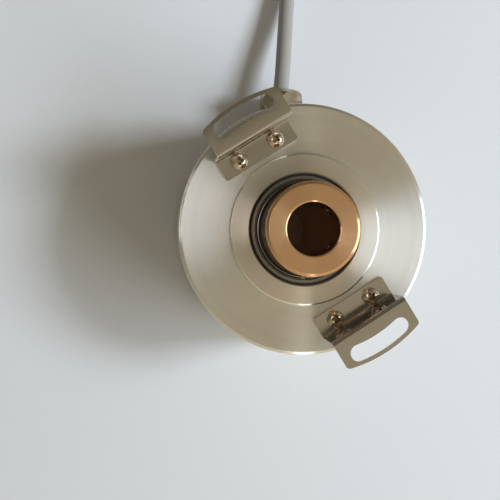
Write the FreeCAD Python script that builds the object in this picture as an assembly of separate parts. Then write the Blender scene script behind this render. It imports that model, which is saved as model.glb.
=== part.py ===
import FreeCAD, Part
import math
import os

# Hollow shaft rotary encoder, in millimetres.
# Z is the shaft axis, zero at the rear face that the body stands on, and the brackets lie along Y.
Vector = FreeCAD.Vector
UP = Vector(0, 0, 1)
ORIGIN = Vector(0, 0, 0)

# Clearances
press_gap = 0.01
screw_gap = 0.05
slip_gap = 0.05
run_gap = 0.4
overrun = 1.0

# Shares of a size that shape a piece
corner_share = 0.45
dome_share = 0.62
grub_cone_share = 0.25
grub_key_share = 0.5

# Body: front flange and rear cover
body_d = 80.0
body_h = 45.0
edge_chamfer = 0.8
joint_chamfer = 0.25
rim_h = 9.0
flange_t = 8.0
spigot_l = 5.0
spigot_wall = 2.4
cover_wall = 2.0
cover_floor = 2.5
seal_groove_depth = 1.3
seal_groove_w = 1.9
boss_d = 48.4
boss_h = 1.0
boss_chamfer = 0.5
lip_chamfer = 0.3
housing_wall = 4.0

# Ball bearings, two alike
bearing_bore = 30.0
bearing_od = 37.0
bearing_w = 4.0
bearing_gap = 4.0
race_gap = 1.5
ball_d = 2.0
ball_count = 20
ball_clearance = 0.03
cage_t = 0.7
cage_h = 2.0
cage_back = 1.3
shield_t = 0.4
shield_inset = 0.15
shield_seat = 0.35
shield_gap = 0.3
bearing_chamfer = 0.2
lip_w = 0.5
lip_t = 0.8

# Rings that hold the bearings
wave_h = 0.8
wave_t = 0.3
wave_w = 1.1
wave_count = 3
housing_ring_t = 1.0
housing_ring_w = 2.0
housing_ring_bite = 0.8
housing_ring_gap_deg = 24.0
housing_land = 1.5
shaft_ring_t = 0.8
shaft_ring_w = 1.8
shaft_ring_bite = 0.6
shaft_ring_gap_deg = 5.0
shaft_ring_gap_angle = 236.0

# Hollow shaft
shaft_bore = 16.0
shaft_proud = 14.5
shaft_relief = 0.5
shaft_shoulder = 0.9
shaft_chamfer = 0.5
bore_chamfer = 0.3
shaft_rear_inset = 0.6
set_screw_d = 4.0
set_screw_setback = 5.5
set_screw_sink = 0.3
set_screw_angles = (-75.0, 15.0)

# Brackets
bracket_t = 0.8
bracket_w = 26.4
bracket_h = 12.9
bracket_bend = 0.5
bracket_wall_y = 32.5
bracket_plate_l = 6.8
bracket_outer_r = 44.0
bracket_corner = 0.7
slot_r = 40.3
slot_w = 5.2
slot_half_deg = 11.0
bracket_screw_r = 30.0
bracket_screw_half_deg = 13.0
bracket_hole_d = 3.4

# Screws
m3_d = 3.0
m3_head_d = 5.5
m3_head_h = 2.0
m3_cross_w = 0.9
m3_cross_l = 3.0
m3_cross_depth = 1.1
bracket_screw_l = 6.0
cover_screw_head_d = 5.6
cover_screw_l = 6.5
cover_screw_inset = 0.1
m2_d = 2.0
m2_head_d = 3.0
m2_head_h = 1.2
holder_screw_l = 7.0
clamp_screw_l = 4.5

# Board posts
post_edge = 3.1
post_angles = (30.0, 150.0, 270.0)
post_flats = 5.0
post_stud_l = 5.0

# Code disc and its hub
hub_clear = 0.6
hub_flange_t = 5.0
hub_flange_d = 40.0
hub_wall = 1.4
hub_screw_angles = (90.0, 210.0)
disc_d = 51.0
disc_t = 1.0
disc_bore = 32.0
clamp_ring_t = 1.0
clamp_ring_d = 39.0
clamp_screw_r = 17.8
clamp_screw_angles = (30.0, 150.0, 270.0)
track_inset = 2.2
track_w = 2.4
track_count = 48
index_w = 1.2
index_step = 3.4

# Optics
sensor_angle = 180.0
led_d = 3.0
led_rim = 0.4
led_rim_h = 0.8
led_gap = 1.0
holder_w = 10.0
holder_head_h = 3.2
holder_web_share = 0.38
holder_foot_t = 3.0
holder_screw_y = 3.0
disc_edge_gap = 1.0
disc_gap = 0.3
reticle_t = 0.3
detector_h = 0.8
detector_l = 5.0
detector_w = 6.0
carrier_h = 2.0
carrier_l = 6.4
carrier_w = 10.0
led_pitch = 2.54
led_wire_d = 0.8
led_wire_rise = 1.2

# Main board
board_t = 1.6
board_edge_gap = 2.5
board_bore_gap = 2.5
chip_l = 10.0
chip_w = 4.0
chip_h = 1.6
chip_angle = 0.0
can_d = 6.3
can_h = 7.0
can_chamfer = 0.5
can_angles = (205.0, 235.0)
header_l = 14.0
header_w = 5.8
header_h = 4.0
header_wall = 0.8
header_inset = 4.25
plug_h = 5.5
plug_seat = 2.5
plug_gap = 0.1

# Cable gland
gland_angle = 61.2
gland_h = 12.0
gland_flat_depth = 0.9
gland_pad_t = 1.8
gland_pad_d = 18.0
gland_thread_d = 12.4
gland_flats = 14.0
gland_hex_t = 3.0
gland_washer_t = 1.0
gland_washer_d = 15.4
gland_nose_d = 10.4
gland_nose_l = 3.4
gland_nut_l = 7.0
gland_nut_face = 1.6
gland_nut_dome = 3.6
gland_mouth_d = 6.4
gland_mouth_l = 1.1
gland_bore_d = 6.0
locknut_t = 2.8

# Cable
cable_d = 5.5
lead_d = 1.2
lead_count = 5
lead_ring_r = 1.6
lead_dip = 3.0
stub_inside = 2.5

# Cable's route from the gland to the coil, and the coil that holds the rest of its length
route = [
    (28.8, 49.5, 10.8),
    (35.3, 58.1, 8.3),
    (42.2, 67.2, 5.7),
    (48.4, 75.4, 4.2),
]
coil_centre = (34.0, 123.1)
coil_raise = 0.7
coil_mid_r = 27.5
coil_entry_deg = -19.8
coil_leave_deg = 90.0
coil_entry_l = 21.0
coil_lead_l = 9.0
coil_tail_l = 47.0
tail_crest = 0.3
tail_foot = 0.7
tie_w = 6.0
tie_t = 0.5
tie_gap = 0.2
tie_turn = 30.0
flying_l = 26.0
flying_fan_deg = 6.0
flying_steps = ((0.2, 0.0), (0.5, 0.3), (1.0, 1.0))

# Heights that follow from the sizes above
body_r = body_d / 2
boss_r = boss_d / 2
top_z = body_h + boss_h
plate_z = body_h - flange_t
joint_z = body_h - rim_h
spigot_r = body_r - cover_wall - slip_gap
spigot_in_r = spigot_r - spigot_wall
spigot_end = joint_z - spigot_l
bearing_out_r = bearing_od / 2
bearing_in_r = bearing_bore / 2
seat_top = top_z - lip_t
front_z = seat_top - bearing_w
rear_z = front_z - bearing_gap - bearing_w
wave_z = rear_z - wave_h
housing_ring_z = wave_z - housing_ring_t
tube_end = housing_ring_z - housing_land
tube_r = bearing_out_r + housing_wall
pitch_r = (bearing_in_r + bearing_out_r) / 2
hub_top = tube_end - hub_clear
disc_z1 = hub_top - hub_flange_t
disc_z0 = disc_z1 - disc_t
reticle_z = disc_z0 - disc_gap - reticle_t
detector_z = reticle_z - detector_h
board_z1 = detector_z - carrier_h
board_z0 = board_z1 - board_t
shaft_top = body_h + shaft_proud
seat_r = bearing_in_r - press_gap
collar_r = bearing_in_r - shaft_relief
set_screw_z = shaft_top - set_screw_setback
bracket_z = body_h + bracket_t
flat_r = body_r - gland_flat_depth
pad_r = body_r - cover_wall - gland_pad_t
locknut_r = pad_r - locknut_t
track_r = disc_d / 2 - track_inset
board_r = body_r - cover_wall - board_edge_gap
board_in_r = collar_r + board_bore_gap
board_mid_r = (board_in_r + board_r) / 2
header_r = board_mid_r - header_inset
post_r = board_r - post_edge
web_r = disc_d / 2 + disc_edge_gap
foot_r = spigot_in_r - 2 * run_gap
web_t = (foot_r - web_r) * holder_web_share
holder_screw_x = (web_r + web_t + foot_r) / 2
hex_r = flat_r + gland_washer_t
nose_r = hex_r + gland_hex_t
nut_end = nose_r + gland_nut_l
cable_start_r = nut_end - gland_mouth_l


def turned(points):
    """A solid turned round Z from a closed outline of (radius, height) points."""
    corners = [Vector(r, 0, z) for r, z in points]
    face = Part.Face(Part.makePolygon(corners + corners[:1]))
    return face.revolve(ORIGIN, UP, 360)


def ring(inner_r, outer_r, low, high):
    return turned([(inner_r, low), (outer_r, low), (outer_r, high), (inner_r, high)])


def chamfered_ring(inner_r, outer_r, low, high, chamfer):
    bottom = low + chamfer
    top = high - chamfer
    return turned([
        (inner_r, bottom), (inner_r + chamfer, low), (outer_r - chamfer, low), (outer_r, bottom),
        (outer_r, top), (outer_r - chamfer, high), (inner_r + chamfer, high), (inner_r, top),
    ])


def rod(diameter, low, high, x=0.0, y=0.0):
    return Part.makeCylinder(diameter / 2, high - low, Vector(x, y, low), UP)


def block(x0, x1, y0, y1, z0, z1):
    return Part.makeBox(x1 - x0, y1 - y0, z1 - z0, Vector(x0, y0, z0))


def hexagon(flats, low, high):
    """A hexagonal bar on Z, with two of its flats facing along Y."""
    corner_r = flats / math.sqrt(3)
    corners = []
    for step in range(7):
        angle = math.radians(60 * step)
        corners.append(Vector(corner_r * math.cos(angle), corner_r * math.sin(angle), low))
    return Part.Face(Part.makePolygon(corners)).extrude(UP * (high - low))


def about_z(shape, degrees):
    copy = shape.copy()
    copy.rotate(ORIGIN, UP, degrees)
    return copy


def moved(shape, x, y, z):
    copy = shape.copy()
    copy.translate(Vector(x, y, z))
    return copy


def laid(shape):
    """Turns a piece drawn along Z so that it points out along X."""
    copy = shape.copy()
    copy.rotate(ORIGIN, Vector(0, 1, 0), 90)
    return copy


def spread(shape, radius, angles):
    """Copies of a piece at a radius from the axis, one for each angle."""
    return [about_z(moved(shape, radius, 0, 0), angle) for angle in angles]


def at_gland(shape):
    """Lays a piece drawn along Z on the gland's own axis."""
    return about_z(moved(laid(shape), 0, 0, gland_h), gland_angle)


def open_ring(inner_r, outer_r, low, high, gap_angle, gap_deg):
    """A flat ring with a gap, centred on gap_angle."""
    face = Part.Face(Part.makePolygon([
        Vector(inner_r, 0, low), Vector(outer_r, 0, low), Vector(outer_r, 0, high), Vector(inner_r, 0, high),
        Vector(inner_r, 0, low),
    ]))
    return about_z(face.revolve(ORIGIN, UP, 360 - gap_deg), gap_angle + gap_deg / 2)


def corner_radius(before, corner, after):
    """The radius of the arc that rounds a route's corner, as large as its two runs allow."""
    first = corner - before
    second = after - corner
    half_turn = first.getAngle(second) / 2
    return corner_share * min(first.Length, second.Length) / math.tan(half_turn)


def tube(points, diameter):
    """A round tube along straight runs joined by tangent arcs."""
    spots = [Vector(*point) for point in points]
    edges = []
    start = spots[0]
    for before, corner, after in zip(spots, spots[1:], spots[2:]):
        first = (corner - before).normalize()
        second = (after - corner).normalize()
        reach = corner_share * min((corner - before).Length, (after - corner).Length)
        leave = corner - first * reach
        join = corner + second * reach
        radius = corner_radius(before, corner, after)
        inward = (second - first).normalize()
        half_turn = first.getAngle(second) / 2
        centre = corner + inward * (radius / math.cos(half_turn))
        edges.append(Part.LineSegment(start, leave).toShape())
        edges.append(Part.Arc(leave, centre - inward * radius, join).toShape())
        start = join
    edges.append(Part.LineSegment(start, spots[-1]).toShape())
    path = Part.Wire(edges)
    section = Part.Wire(Part.makeCircle(diameter / 2, spots[0], spots[1] - spots[0]))
    return path.makePipeShell([section], True, False)


def save(name, *solids):
    shape = solids[0] if len(solids) == 1 else Part.makeCompound(list(solids))
    shape.exportStep("parts/" + name + ".step")


def pan_screw(diameter, head_d, head_h, length):
    """A domed screw with its head's seat at zero, pointing down."""
    dome = head_d * dome_share
    centre_z = head_h - dome
    rim_z = centre_z + math.sqrt(dome * dome - head_d * head_d / 4)
    edges = [
        Part.LineSegment(Vector(0, 0, -length), Vector(diameter / 2, 0, -length)).toShape(),
        Part.LineSegment(Vector(diameter / 2, 0, -length), Vector(diameter / 2, 0, 0)).toShape(),
        Part.LineSegment(Vector(diameter / 2, 0, 0), Vector(head_d / 2, 0, 0)).toShape(),
        Part.LineSegment(Vector(head_d / 2, 0, 0), Vector(head_d / 2, 0, rim_z)).toShape(),
        Part.Arc(
            Vector(head_d / 2, 0, rim_z),
            Vector(head_d / 4, 0, centre_z + math.sqrt(dome * dome - head_d * head_d / 16)),
            Vector(0, 0, head_h),
        ).toShape(),
        Part.LineSegment(Vector(0, 0, head_h), Vector(0, 0, -length)).toShape(),
    ]
    return Part.Face(Part.Wire(edges)).revolve(ORIGIN, UP, 360)


def cross_recess(head_h):
    low = head_h - m3_cross_depth
    one = block(-m3_cross_l / 2, m3_cross_l / 2, -m3_cross_w / 2, m3_cross_w / 2, low, head_h + overrun)
    return one.fuse(about_z(one, 90))


def bracket_screw_spots():
    """The four bracket screws' places on the face, as (x, y)."""
    spots = []
    for side in (90.0, 270.0):
        for turn in (-bracket_screw_half_deg, bracket_screw_half_deg):
            angle = math.radians(side + turn)
            spots.append((bracket_screw_r * math.cos(angle), bracket_screw_r * math.sin(angle)))
    return spots


def front_flange():
    groove_mid = (joint_z + spigot_end) / 2
    groove_low = groove_mid - seal_groove_w / 2
    groove_high = groove_mid + seal_groove_w / 2
    groove_r = spigot_r - seal_groove_depth
    lip_r = bearing_out_r - lip_w
    wall_r = bearing_out_r + press_gap
    ring_r = bearing_out_r + housing_ring_bite + slip_gap
    solid = turned([
        (lip_r, seat_top), (lip_r, top_z - lip_chamfer), (lip_r + lip_chamfer, top_z),
        (boss_r - boss_chamfer, top_z), (boss_r, top_z - boss_chamfer), (boss_r, body_h),
        (body_r - edge_chamfer, body_h), (body_r, body_h - edge_chamfer),
        (body_r, joint_z + joint_chamfer), (body_r - joint_chamfer, joint_z), (spigot_r, joint_z),
        (spigot_r, groove_high), (groove_r, groove_high), (groove_r, groove_low), (spigot_r, groove_low),
        (spigot_r, spigot_end), (spigot_in_r, spigot_end), (spigot_in_r, plate_z),
        (tube_r, plate_z), (tube_r, tube_end), (wall_r, tube_end),
        (wall_r, housing_ring_z - press_gap), (ring_r, housing_ring_z - press_gap),
        (ring_r, wave_z + press_gap), (wall_r, wave_z + press_gap), (wall_r, seat_top),
    ])
    holes = []
    for x, y in bracket_screw_spots():
        holes.append(rod(m3_d + 2 * screw_gap, body_h - bracket_screw_l, body_h + overrun, x, y))
    stud_hole = rod(m3_d + 2 * screw_gap, plate_z - overrun, plate_z + post_stud_l + run_gap)
    holes += spread(stud_hole, post_r, post_angles)
    holder_hole_end = plate_z + holder_screw_l - holder_foot_t + run_gap
    holder_hole = rod(m2_d + 2 * screw_gap, plate_z - overrun, holder_hole_end)
    holes += [about_z(moved(holder_hole, holder_screw_x, y, 0), sensor_angle) for y in holder_screw_rows()]
    return solid.cut(holes)


def rear_cover():
    inner_r = body_r - cover_wall
    shell = turned([
        (collar_r + run_gap, 0), (body_r - edge_chamfer, 0), (body_r, edge_chamfer),
        (body_r, joint_z - joint_chamfer), (body_r - joint_chamfer, joint_z), (inner_r, joint_z),
        (inner_r, cover_floor), (collar_r + run_gap, cover_floor),
    ])
    pad = at_gland(rod(gland_pad_d, pad_r, body_r - cover_wall / 2))
    pad = pad.common(rod(body_d - cover_wall, cover_floor, joint_z))
    shell = shell.fuse(pad)
    flat = at_gland(rod(gland_pad_d, flat_r, body_r + overrun))
    hole = at_gland(rod(gland_thread_d + 2 * slip_gap, pad_r - overrun, body_r + overrun))
    head_r = cover_screw_head_d / 2 + slip_gap
    stem_r = m3_d / 2 + slip_gap
    sink = turned([
        (0, -overrun), (head_r, -overrun), (head_r, cover_screw_inset),
        (stem_r, cover_screw_inset + head_r - stem_r), (stem_r, cover_floor + overrun),
        (0, cover_floor + overrun),
    ])
    return shell.cut([flat, hole] + spread(sink, post_r, post_angles))


def cover_seal_ring():
    """The seal as it lies squeezed between the spigot's groove and the cover's wall."""
    section_d = seal_groove_depth + slip_gap - 2 * press_gap
    middle_r = spigot_r + slip_gap - press_gap - section_d / 2
    return Part.makeTorus(middle_r, section_d / 2, Vector(0, 0, (joint_z + spigot_end) / 2), UP)


def cover_screw():
    head_r = cover_screw_head_d / 2
    low = cover_screw_inset
    stem_r = m3_d / 2
    screw = turned([
        (0, low), (head_r, low), (stem_r, low + head_r - stem_r), (stem_r, cover_screw_l), (0, cover_screw_l),
    ])
    return screw.cut(moved(cross_recess(0).mirror(ORIGIN, UP), 0, 0, low))


def upper_post():
    hole_l = post_stud_l + run_gap
    stud = rod(m3_d, board_z1 + hole_l + overrun, plate_z + post_stud_l)
    body = about_z(hexagon(post_flats, board_z1, plate_z), 30).fuse(stud)
    return body.cut(rod(m3_d + 2 * screw_gap, board_z1 - overrun, board_z1 + hole_l))


def lower_post():
    hole_l = cover_screw_l - cover_floor + run_gap
    stud = rod(m3_d, cover_floor + hole_l + overrun, board_z1 + post_stud_l)
    body = about_z(hexagon(post_flats, cover_floor, board_z0), 30).fuse(stud)
    return body.cut(rod(m3_d + 2 * screw_gap, cover_floor - overrun, cover_floor + hole_l))


def hollow_shaft():
    bore_r = shaft_bore / 2
    groove_r = collar_r - shaft_ring_bite - press_gap
    groove_top = seat_top + shaft_ring_t + press_gap
    shoulder_r = bearing_in_r + shaft_shoulder
    solid = turned([
        (bore_r, shaft_rear_inset + bore_chamfer), (bore_r + bore_chamfer, shaft_rear_inset),
        (collar_r - shaft_chamfer, shaft_rear_inset), (collar_r, shaft_rear_inset + shaft_chamfer),
        (collar_r, rear_z), (seat_r, rear_z), (seat_r, rear_z + bearing_w),
        (shoulder_r, rear_z + bearing_w), (shoulder_r, front_z), (seat_r, front_z), (seat_r, seat_top),
        (groove_r, seat_top), (groove_r, groove_top), (collar_r, groove_top),
        (collar_r, shaft_top - shaft_chamfer), (collar_r - shaft_chamfer, shaft_top),
        (bore_r + bore_chamfer, shaft_top), (bore_r, shaft_top - bore_chamfer),
    ])
    hole = moved(laid(rod(set_screw_d + 2 * screw_gap, 0, collar_r + overrun)), 0, 0, set_screw_z)
    return solid.cut([about_z(hole, angle) for angle in set_screw_angles])


def grub_screw(diameter, tip_r, head_r, height):
    """A socket grub screw lying along X, with a coned tip towards the axis."""
    cone = diameter * grub_cone_share
    body = turned([
        (0, tip_r), (cone, tip_r), (diameter / 2, tip_r + cone), (diameter / 2, head_r), (0, head_r),
    ])
    socket = hexagon(diameter * grub_key_share, head_r - diameter * grub_key_share, head_r + overrun)
    return moved(laid(body.cut(socket)), 0, 0, height)


def shaft_set_screws():
    screw = grub_screw(set_screw_d, shaft_bore / 2 + set_screw_sink, collar_r - set_screw_sink, set_screw_z)
    return [about_z(screw, angle) for angle in set_screw_angles]


def shaft_snap_ring():
    inner_r = collar_r - shaft_ring_bite
    return open_ring(
        inner_r, inner_r + shaft_ring_w, seat_top + press_gap, seat_top + shaft_ring_t,
        shaft_ring_gap_angle, shaft_ring_gap_deg,
    )


def race(low):
    """The ball track of a bearing whose rear face is at low."""
    return Part.makeTorus(pitch_r, ball_d / 2 + ball_clearance, Vector(0, 0, low + bearing_w / 2), UP)


def outer_ring(low):
    high = low + bearing_w
    land_r = pitch_r + race_gap / 2
    step_r = land_r + shield_seat
    step = shield_inset + shield_t
    cut = bearing_chamfer
    solid = turned([
        (step_r, low), (bearing_out_r - cut, low), (bearing_out_r, low + cut), (bearing_out_r, high - cut),
        (bearing_out_r - cut, high), (step_r, high), (step_r, high - step), (land_r, high - step),
        (land_r, low + step), (step_r, low + step),
    ])
    return solid.cut(race(low))


def inner_ring(low):
    outer_r = pitch_r - race_gap / 2
    return chamfered_ring(bearing_in_r, outer_r, low, low + bearing_w, bearing_chamfer).cut(race(low))


def balls(low):
    ball = Part.makeSphere(ball_d / 2, Vector(0, 0, low + bearing_w / 2))
    return spread(ball, pitch_r, [360 * k / ball_count for k in range(ball_count)])


def cage(low):
    """A crown cage: a plain ring with a pocket open to the rear for each ball."""
    middle = low + bearing_w / 2
    crown = ring(pitch_r - cage_t / 2, pitch_r + cage_t / 2, middle + cage_back - cage_h, middle + cage_back)
    pocket = laid(rod(ball_d + 2 * slip_gap, pitch_r - cage_t, pitch_r + cage_t))
    pockets = [about_z(moved(pocket, 0, 0, middle), 360 * k / ball_count) for k in range(ball_count)]
    return crown.cut(pockets)


def shields(low):
    inner_r = pitch_r - race_gap / 2 + shield_gap
    outer_r = pitch_r + race_gap / 2 + shield_seat - press_gap
    high = low + bearing_w
    return [
        ring(inner_r, outer_r, high - shield_inset - shield_t + press_gap, high - shield_inset),
        ring(inner_r, outer_r, low + shield_inset, low + shield_inset + shield_t - press_gap),
    ]


def wave_washer():
    """A sprung ring whose waves bear on the rear bearing and on the ring below it."""
    outer_r = bearing_out_r - slip_gap * 3
    height = (wave_h - wave_t) / 2 - press_gap
    middle = rear_z - wave_h / 2 - wave_t / 2
    steps = 12 * wave_count
    edges = []
    for radius in (outer_r - wave_w, outer_r):
        points = []
        for step in range(steps):
            angle = 2 * math.pi * step / steps
            z = middle + height * math.cos(wave_count * angle)
            points.append(Vector(radius * math.cos(angle), radius * math.sin(angle), z))
        curve = Part.BSplineCurve()
        curve.interpolate(Points=points, PeriodicFlag=True)
        edges.append(curve.toShape())
    return Part.makeRuledSurface(edges[0], edges[1]).extrude(UP * wave_t)


def housing_snap_ring():
    outer_r = bearing_out_r + housing_ring_bite
    return open_ring(
        outer_r - housing_ring_w, outer_r, housing_ring_z, wave_z, sensor_angle, housing_ring_gap_deg,
    )


def disc_hub():
    bore_r = collar_r + press_gap
    spigot = disc_bore / 2 - press_gap
    solid = turned([
        (bore_r, disc_z0 - clamp_ring_t), (spigot, disc_z0 - clamp_ring_t), (spigot, disc_z1),
        (hub_flange_d / 2, disc_z1), (hub_flange_d / 2, hub_top), (bore_r + hub_wall, hub_top),
        (bore_r + hub_wall, rear_z), (bore_r, rear_z),
    ])
    grub = moved(laid(rod(m3_d + 2 * screw_gap, 0, hub_flange_d)), 0, 0, (disc_z1 + hub_top) / 2)
    holes = [about_z(grub, angle) for angle in hub_screw_angles]
    clamp_reach = clamp_screw_l - clamp_ring_t - disc_t + run_gap
    tapped = rod(m2_d + 2 * screw_gap, disc_z1 - overrun, disc_z1 + clamp_reach)
    return solid.cut(holes + spread(tapped, clamp_screw_r, clamp_screw_angles))


def hub_set_screws():
    tip_r = collar_r + 2 * press_gap
    screw = grub_screw(m3_d, tip_r, hub_flange_d / 2 - set_screw_sink, (disc_z1 + hub_top) / 2)
    return [about_z(screw, angle) for angle in hub_screw_angles]


def code_disc():
    """The disc with its slotted track and one index window inside it."""
    solid = ring(disc_bore / 2, disc_d / 2, disc_z0, disc_z1)
    below = disc_z0 - overrun
    above = disc_z1 + overrun
    half_w = math.pi * track_r / track_count / 2
    slot = block(track_r - track_w / 2, track_r + track_w / 2, -half_w, half_w, below, above)
    cuts = [about_z(slot, 360 * k / track_count) for k in range(track_count)]
    index_r = track_r - index_step
    cuts.append(block(
        index_r - index_w / 2, index_r + index_w / 2, -index_w / 2, index_w / 2, below, above,
    ))
    screw_hole = rod(m2_d + 2 * slip_gap, below, above)
    return solid.cut(cuts + spread(screw_hole, clamp_screw_r, clamp_screw_angles))


def disc_clamp_ring():
    solid = ring(disc_bore / 2, clamp_ring_d / 2, disc_z0 - clamp_ring_t, disc_z0)
    hole = rod(m2_d + 2 * slip_gap, disc_z0 - clamp_ring_t - overrun, disc_z0 + overrun)
    return solid.cut(spread(hole, clamp_screw_r, clamp_screw_angles))


def disc_clamp_screws():
    screw = pan_screw(m2_d, m2_head_d, m2_head_h, clamp_screw_l)
    screw.rotate(ORIGIN, Vector(1, 0, 0), 180)
    return spread(moved(screw, 0, 0, disc_z0 - clamp_ring_t), clamp_screw_r, clamp_screw_angles)


def holder_screw_rows():
    return (-holder_screw_y, holder_screw_y)


def led_holder():
    """A bent arm from the flange that carries the lamp over the disc's track."""
    head_low = disc_z1 + led_gap
    head_high = head_low + holder_head_h
    foot_low = plate_z - holder_foot_t
    head_r = hub_flange_d / 2 + hub_clear
    inner_r = tube_r + run_gap
    outline = [
        (head_r, head_low), (web_r + web_t, head_low), (web_r + web_t, foot_low), (foot_r, foot_low),
        (foot_r, plate_z), (inner_r, plate_z), (inner_r, foot_low), (web_r, foot_low), (web_r, head_high),
        (head_r, head_high),
    ]
    corners = [Vector(r, -holder_w / 2, z) for r, z in outline]
    solid = Part.Face(Part.makePolygon(corners + corners[:1])).extrude(Vector(0, holder_w, 0))
    holes = [rod(led_d + 2 * slip_gap, head_low - overrun, head_high + overrun, track_r, 0)]
    for y in holder_screw_rows():
        holes.append(rod(m2_d + 2 * slip_gap, foot_low - overrun, plate_z + overrun, holder_screw_x, y))
    return about_z(solid.cut(holes), sensor_angle)


def led_holder_screws():
    screw = pan_screw(m2_d, m2_head_d, m2_head_h, holder_screw_l)
    screw.rotate(ORIGIN, Vector(1, 0, 0), 180)
    foot_low = plate_z - holder_foot_t
    return [
        about_z(moved(screw, holder_screw_x, y, foot_low), sensor_angle) for y in holder_screw_rows()
    ]


def led():
    """A round lamp pointing down at the disc, its rim resting on the holder's head."""
    high = disc_z1 + led_gap + holder_head_h
    dome_z = disc_z1 + led_gap + led_d / 2
    solid = rod(led_d, dome_z, high + led_rim_h).fuse(rod(led_d + 2 * led_rim, high, high + led_rim_h))
    solid = solid.fuse(Part.makeSphere(led_d / 2, Vector(0, 0, dome_z))).removeSplitter()
    return about_z(moved(solid, track_r, 0, 0), sensor_angle)


def led_leads():
    """The lamp's two wires, down past the disc's edge to the board."""
    start_z = disc_z1 + led_gap + holder_head_h + led_rim_h
    turn_z = start_z + led_wire_rise
    side_y = holder_w / 2 + led_wire_d
    wires = []
    for side in (-1, 1):
        wire = tube([
            (track_r, side * led_pitch / 2, start_z), (track_r, side * led_pitch / 2, turn_z),
            (track_r + led_wire_d, side * side_y, turn_z), (web_r + led_wire_d, side * side_y, turn_z),
            (web_r + led_wire_d, side * side_y, board_z1),
        ], led_wire_d)
        wires.append(about_z(wire, sensor_angle))
    return wires


def sensor_block(length, width, low, high):
    solid = block(track_r - length / 2, track_r + length / 2, -width / 2, width / 2, low, high)
    return about_z(solid, sensor_angle)


def main_board():
    solid = ring(board_in_r, board_r, board_z0, board_z1)
    edge = block(locknut_r - run_gap * 2, body_r, -body_r, body_r, board_z0 - overrun, board_z1 + overrun)
    stud = rod(m3_d + 2 * slip_gap, board_z0 - overrun, board_z1 + overrun)
    return solid.cut([about_z(edge, gland_angle)] + spread(stud, post_r, post_angles))


def line_driver_chip():
    inner_r = board_mid_r - chip_w / 2
    solid = block(inner_r, inner_r + chip_w, -chip_l / 2, chip_l / 2, board_z1, board_z1 + chip_h)
    return about_z(solid, chip_angle)


def board_capacitors():
    radius = can_d / 2
    can = turned([
        (0, board_z0), (radius, board_z0), (radius, board_z0 - can_h + can_chamfer),
        (radius - can_chamfer, board_z0 - can_h), (0, board_z0 - can_h),
    ])
    return spread(can, board_mid_r, can_angles)


def header_box(length, width, low, high):
    return block(header_r - width / 2, header_r + width / 2, -length / 2, length / 2, low, high)


def lead_header():
    solid = header_box(header_l, header_w, board_z0 - header_h, board_z0)
    mouth_z = board_z0 - header_h
    hollow = header_box(
        header_l - 2 * header_wall, header_w - 2 * header_wall, mouth_z - overrun, mouth_z + plug_seat,
    )
    return about_z(solid.cut(hollow), gland_angle)


def plug_low():
    return board_z0 - header_h + plug_seat - plug_h


def lead_plug():
    shrink = 2 * (header_wall + plug_gap)
    solid = header_box(header_l - shrink, header_w - shrink, plug_low(), board_z0 - header_h + plug_seat)
    return about_z(solid, gland_angle)


def inner_leads():
    """The cable's cores inside the cover, from the stripped jacket to the plug."""
    start_r = locknut_r - stub_inside
    low_z = plug_low() - lead_dip
    wires = []
    for share, side, rise in lead_roots():
        far_y = share * (header_l - 4 * header_wall) / lead_count
        wire = tube([
            (start_r, side, gland_h + rise), (start_r - lead_dip, side, gland_h + rise),
            (header_r + lead_dip, far_y, low_z), (header_r, far_y, low_z), (header_r, far_y, plug_low()),
        ], lead_d)
        wires.append(about_z(wire, gland_angle))
    return wires


def lead_roots():
    """Where the cores leave the jacket: their order across it, and their place on its end."""
    roots = []
    for k in range(lead_count):
        angle = math.radians(90 + 360 * k / lead_count)
        roots.append((lead_ring_r * math.cos(angle), lead_ring_r * math.sin(angle)))
    roots.sort()
    return [(k - (lead_count - 1) / 2, side, rise) for k, (side, rise) in enumerate(roots)]


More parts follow.
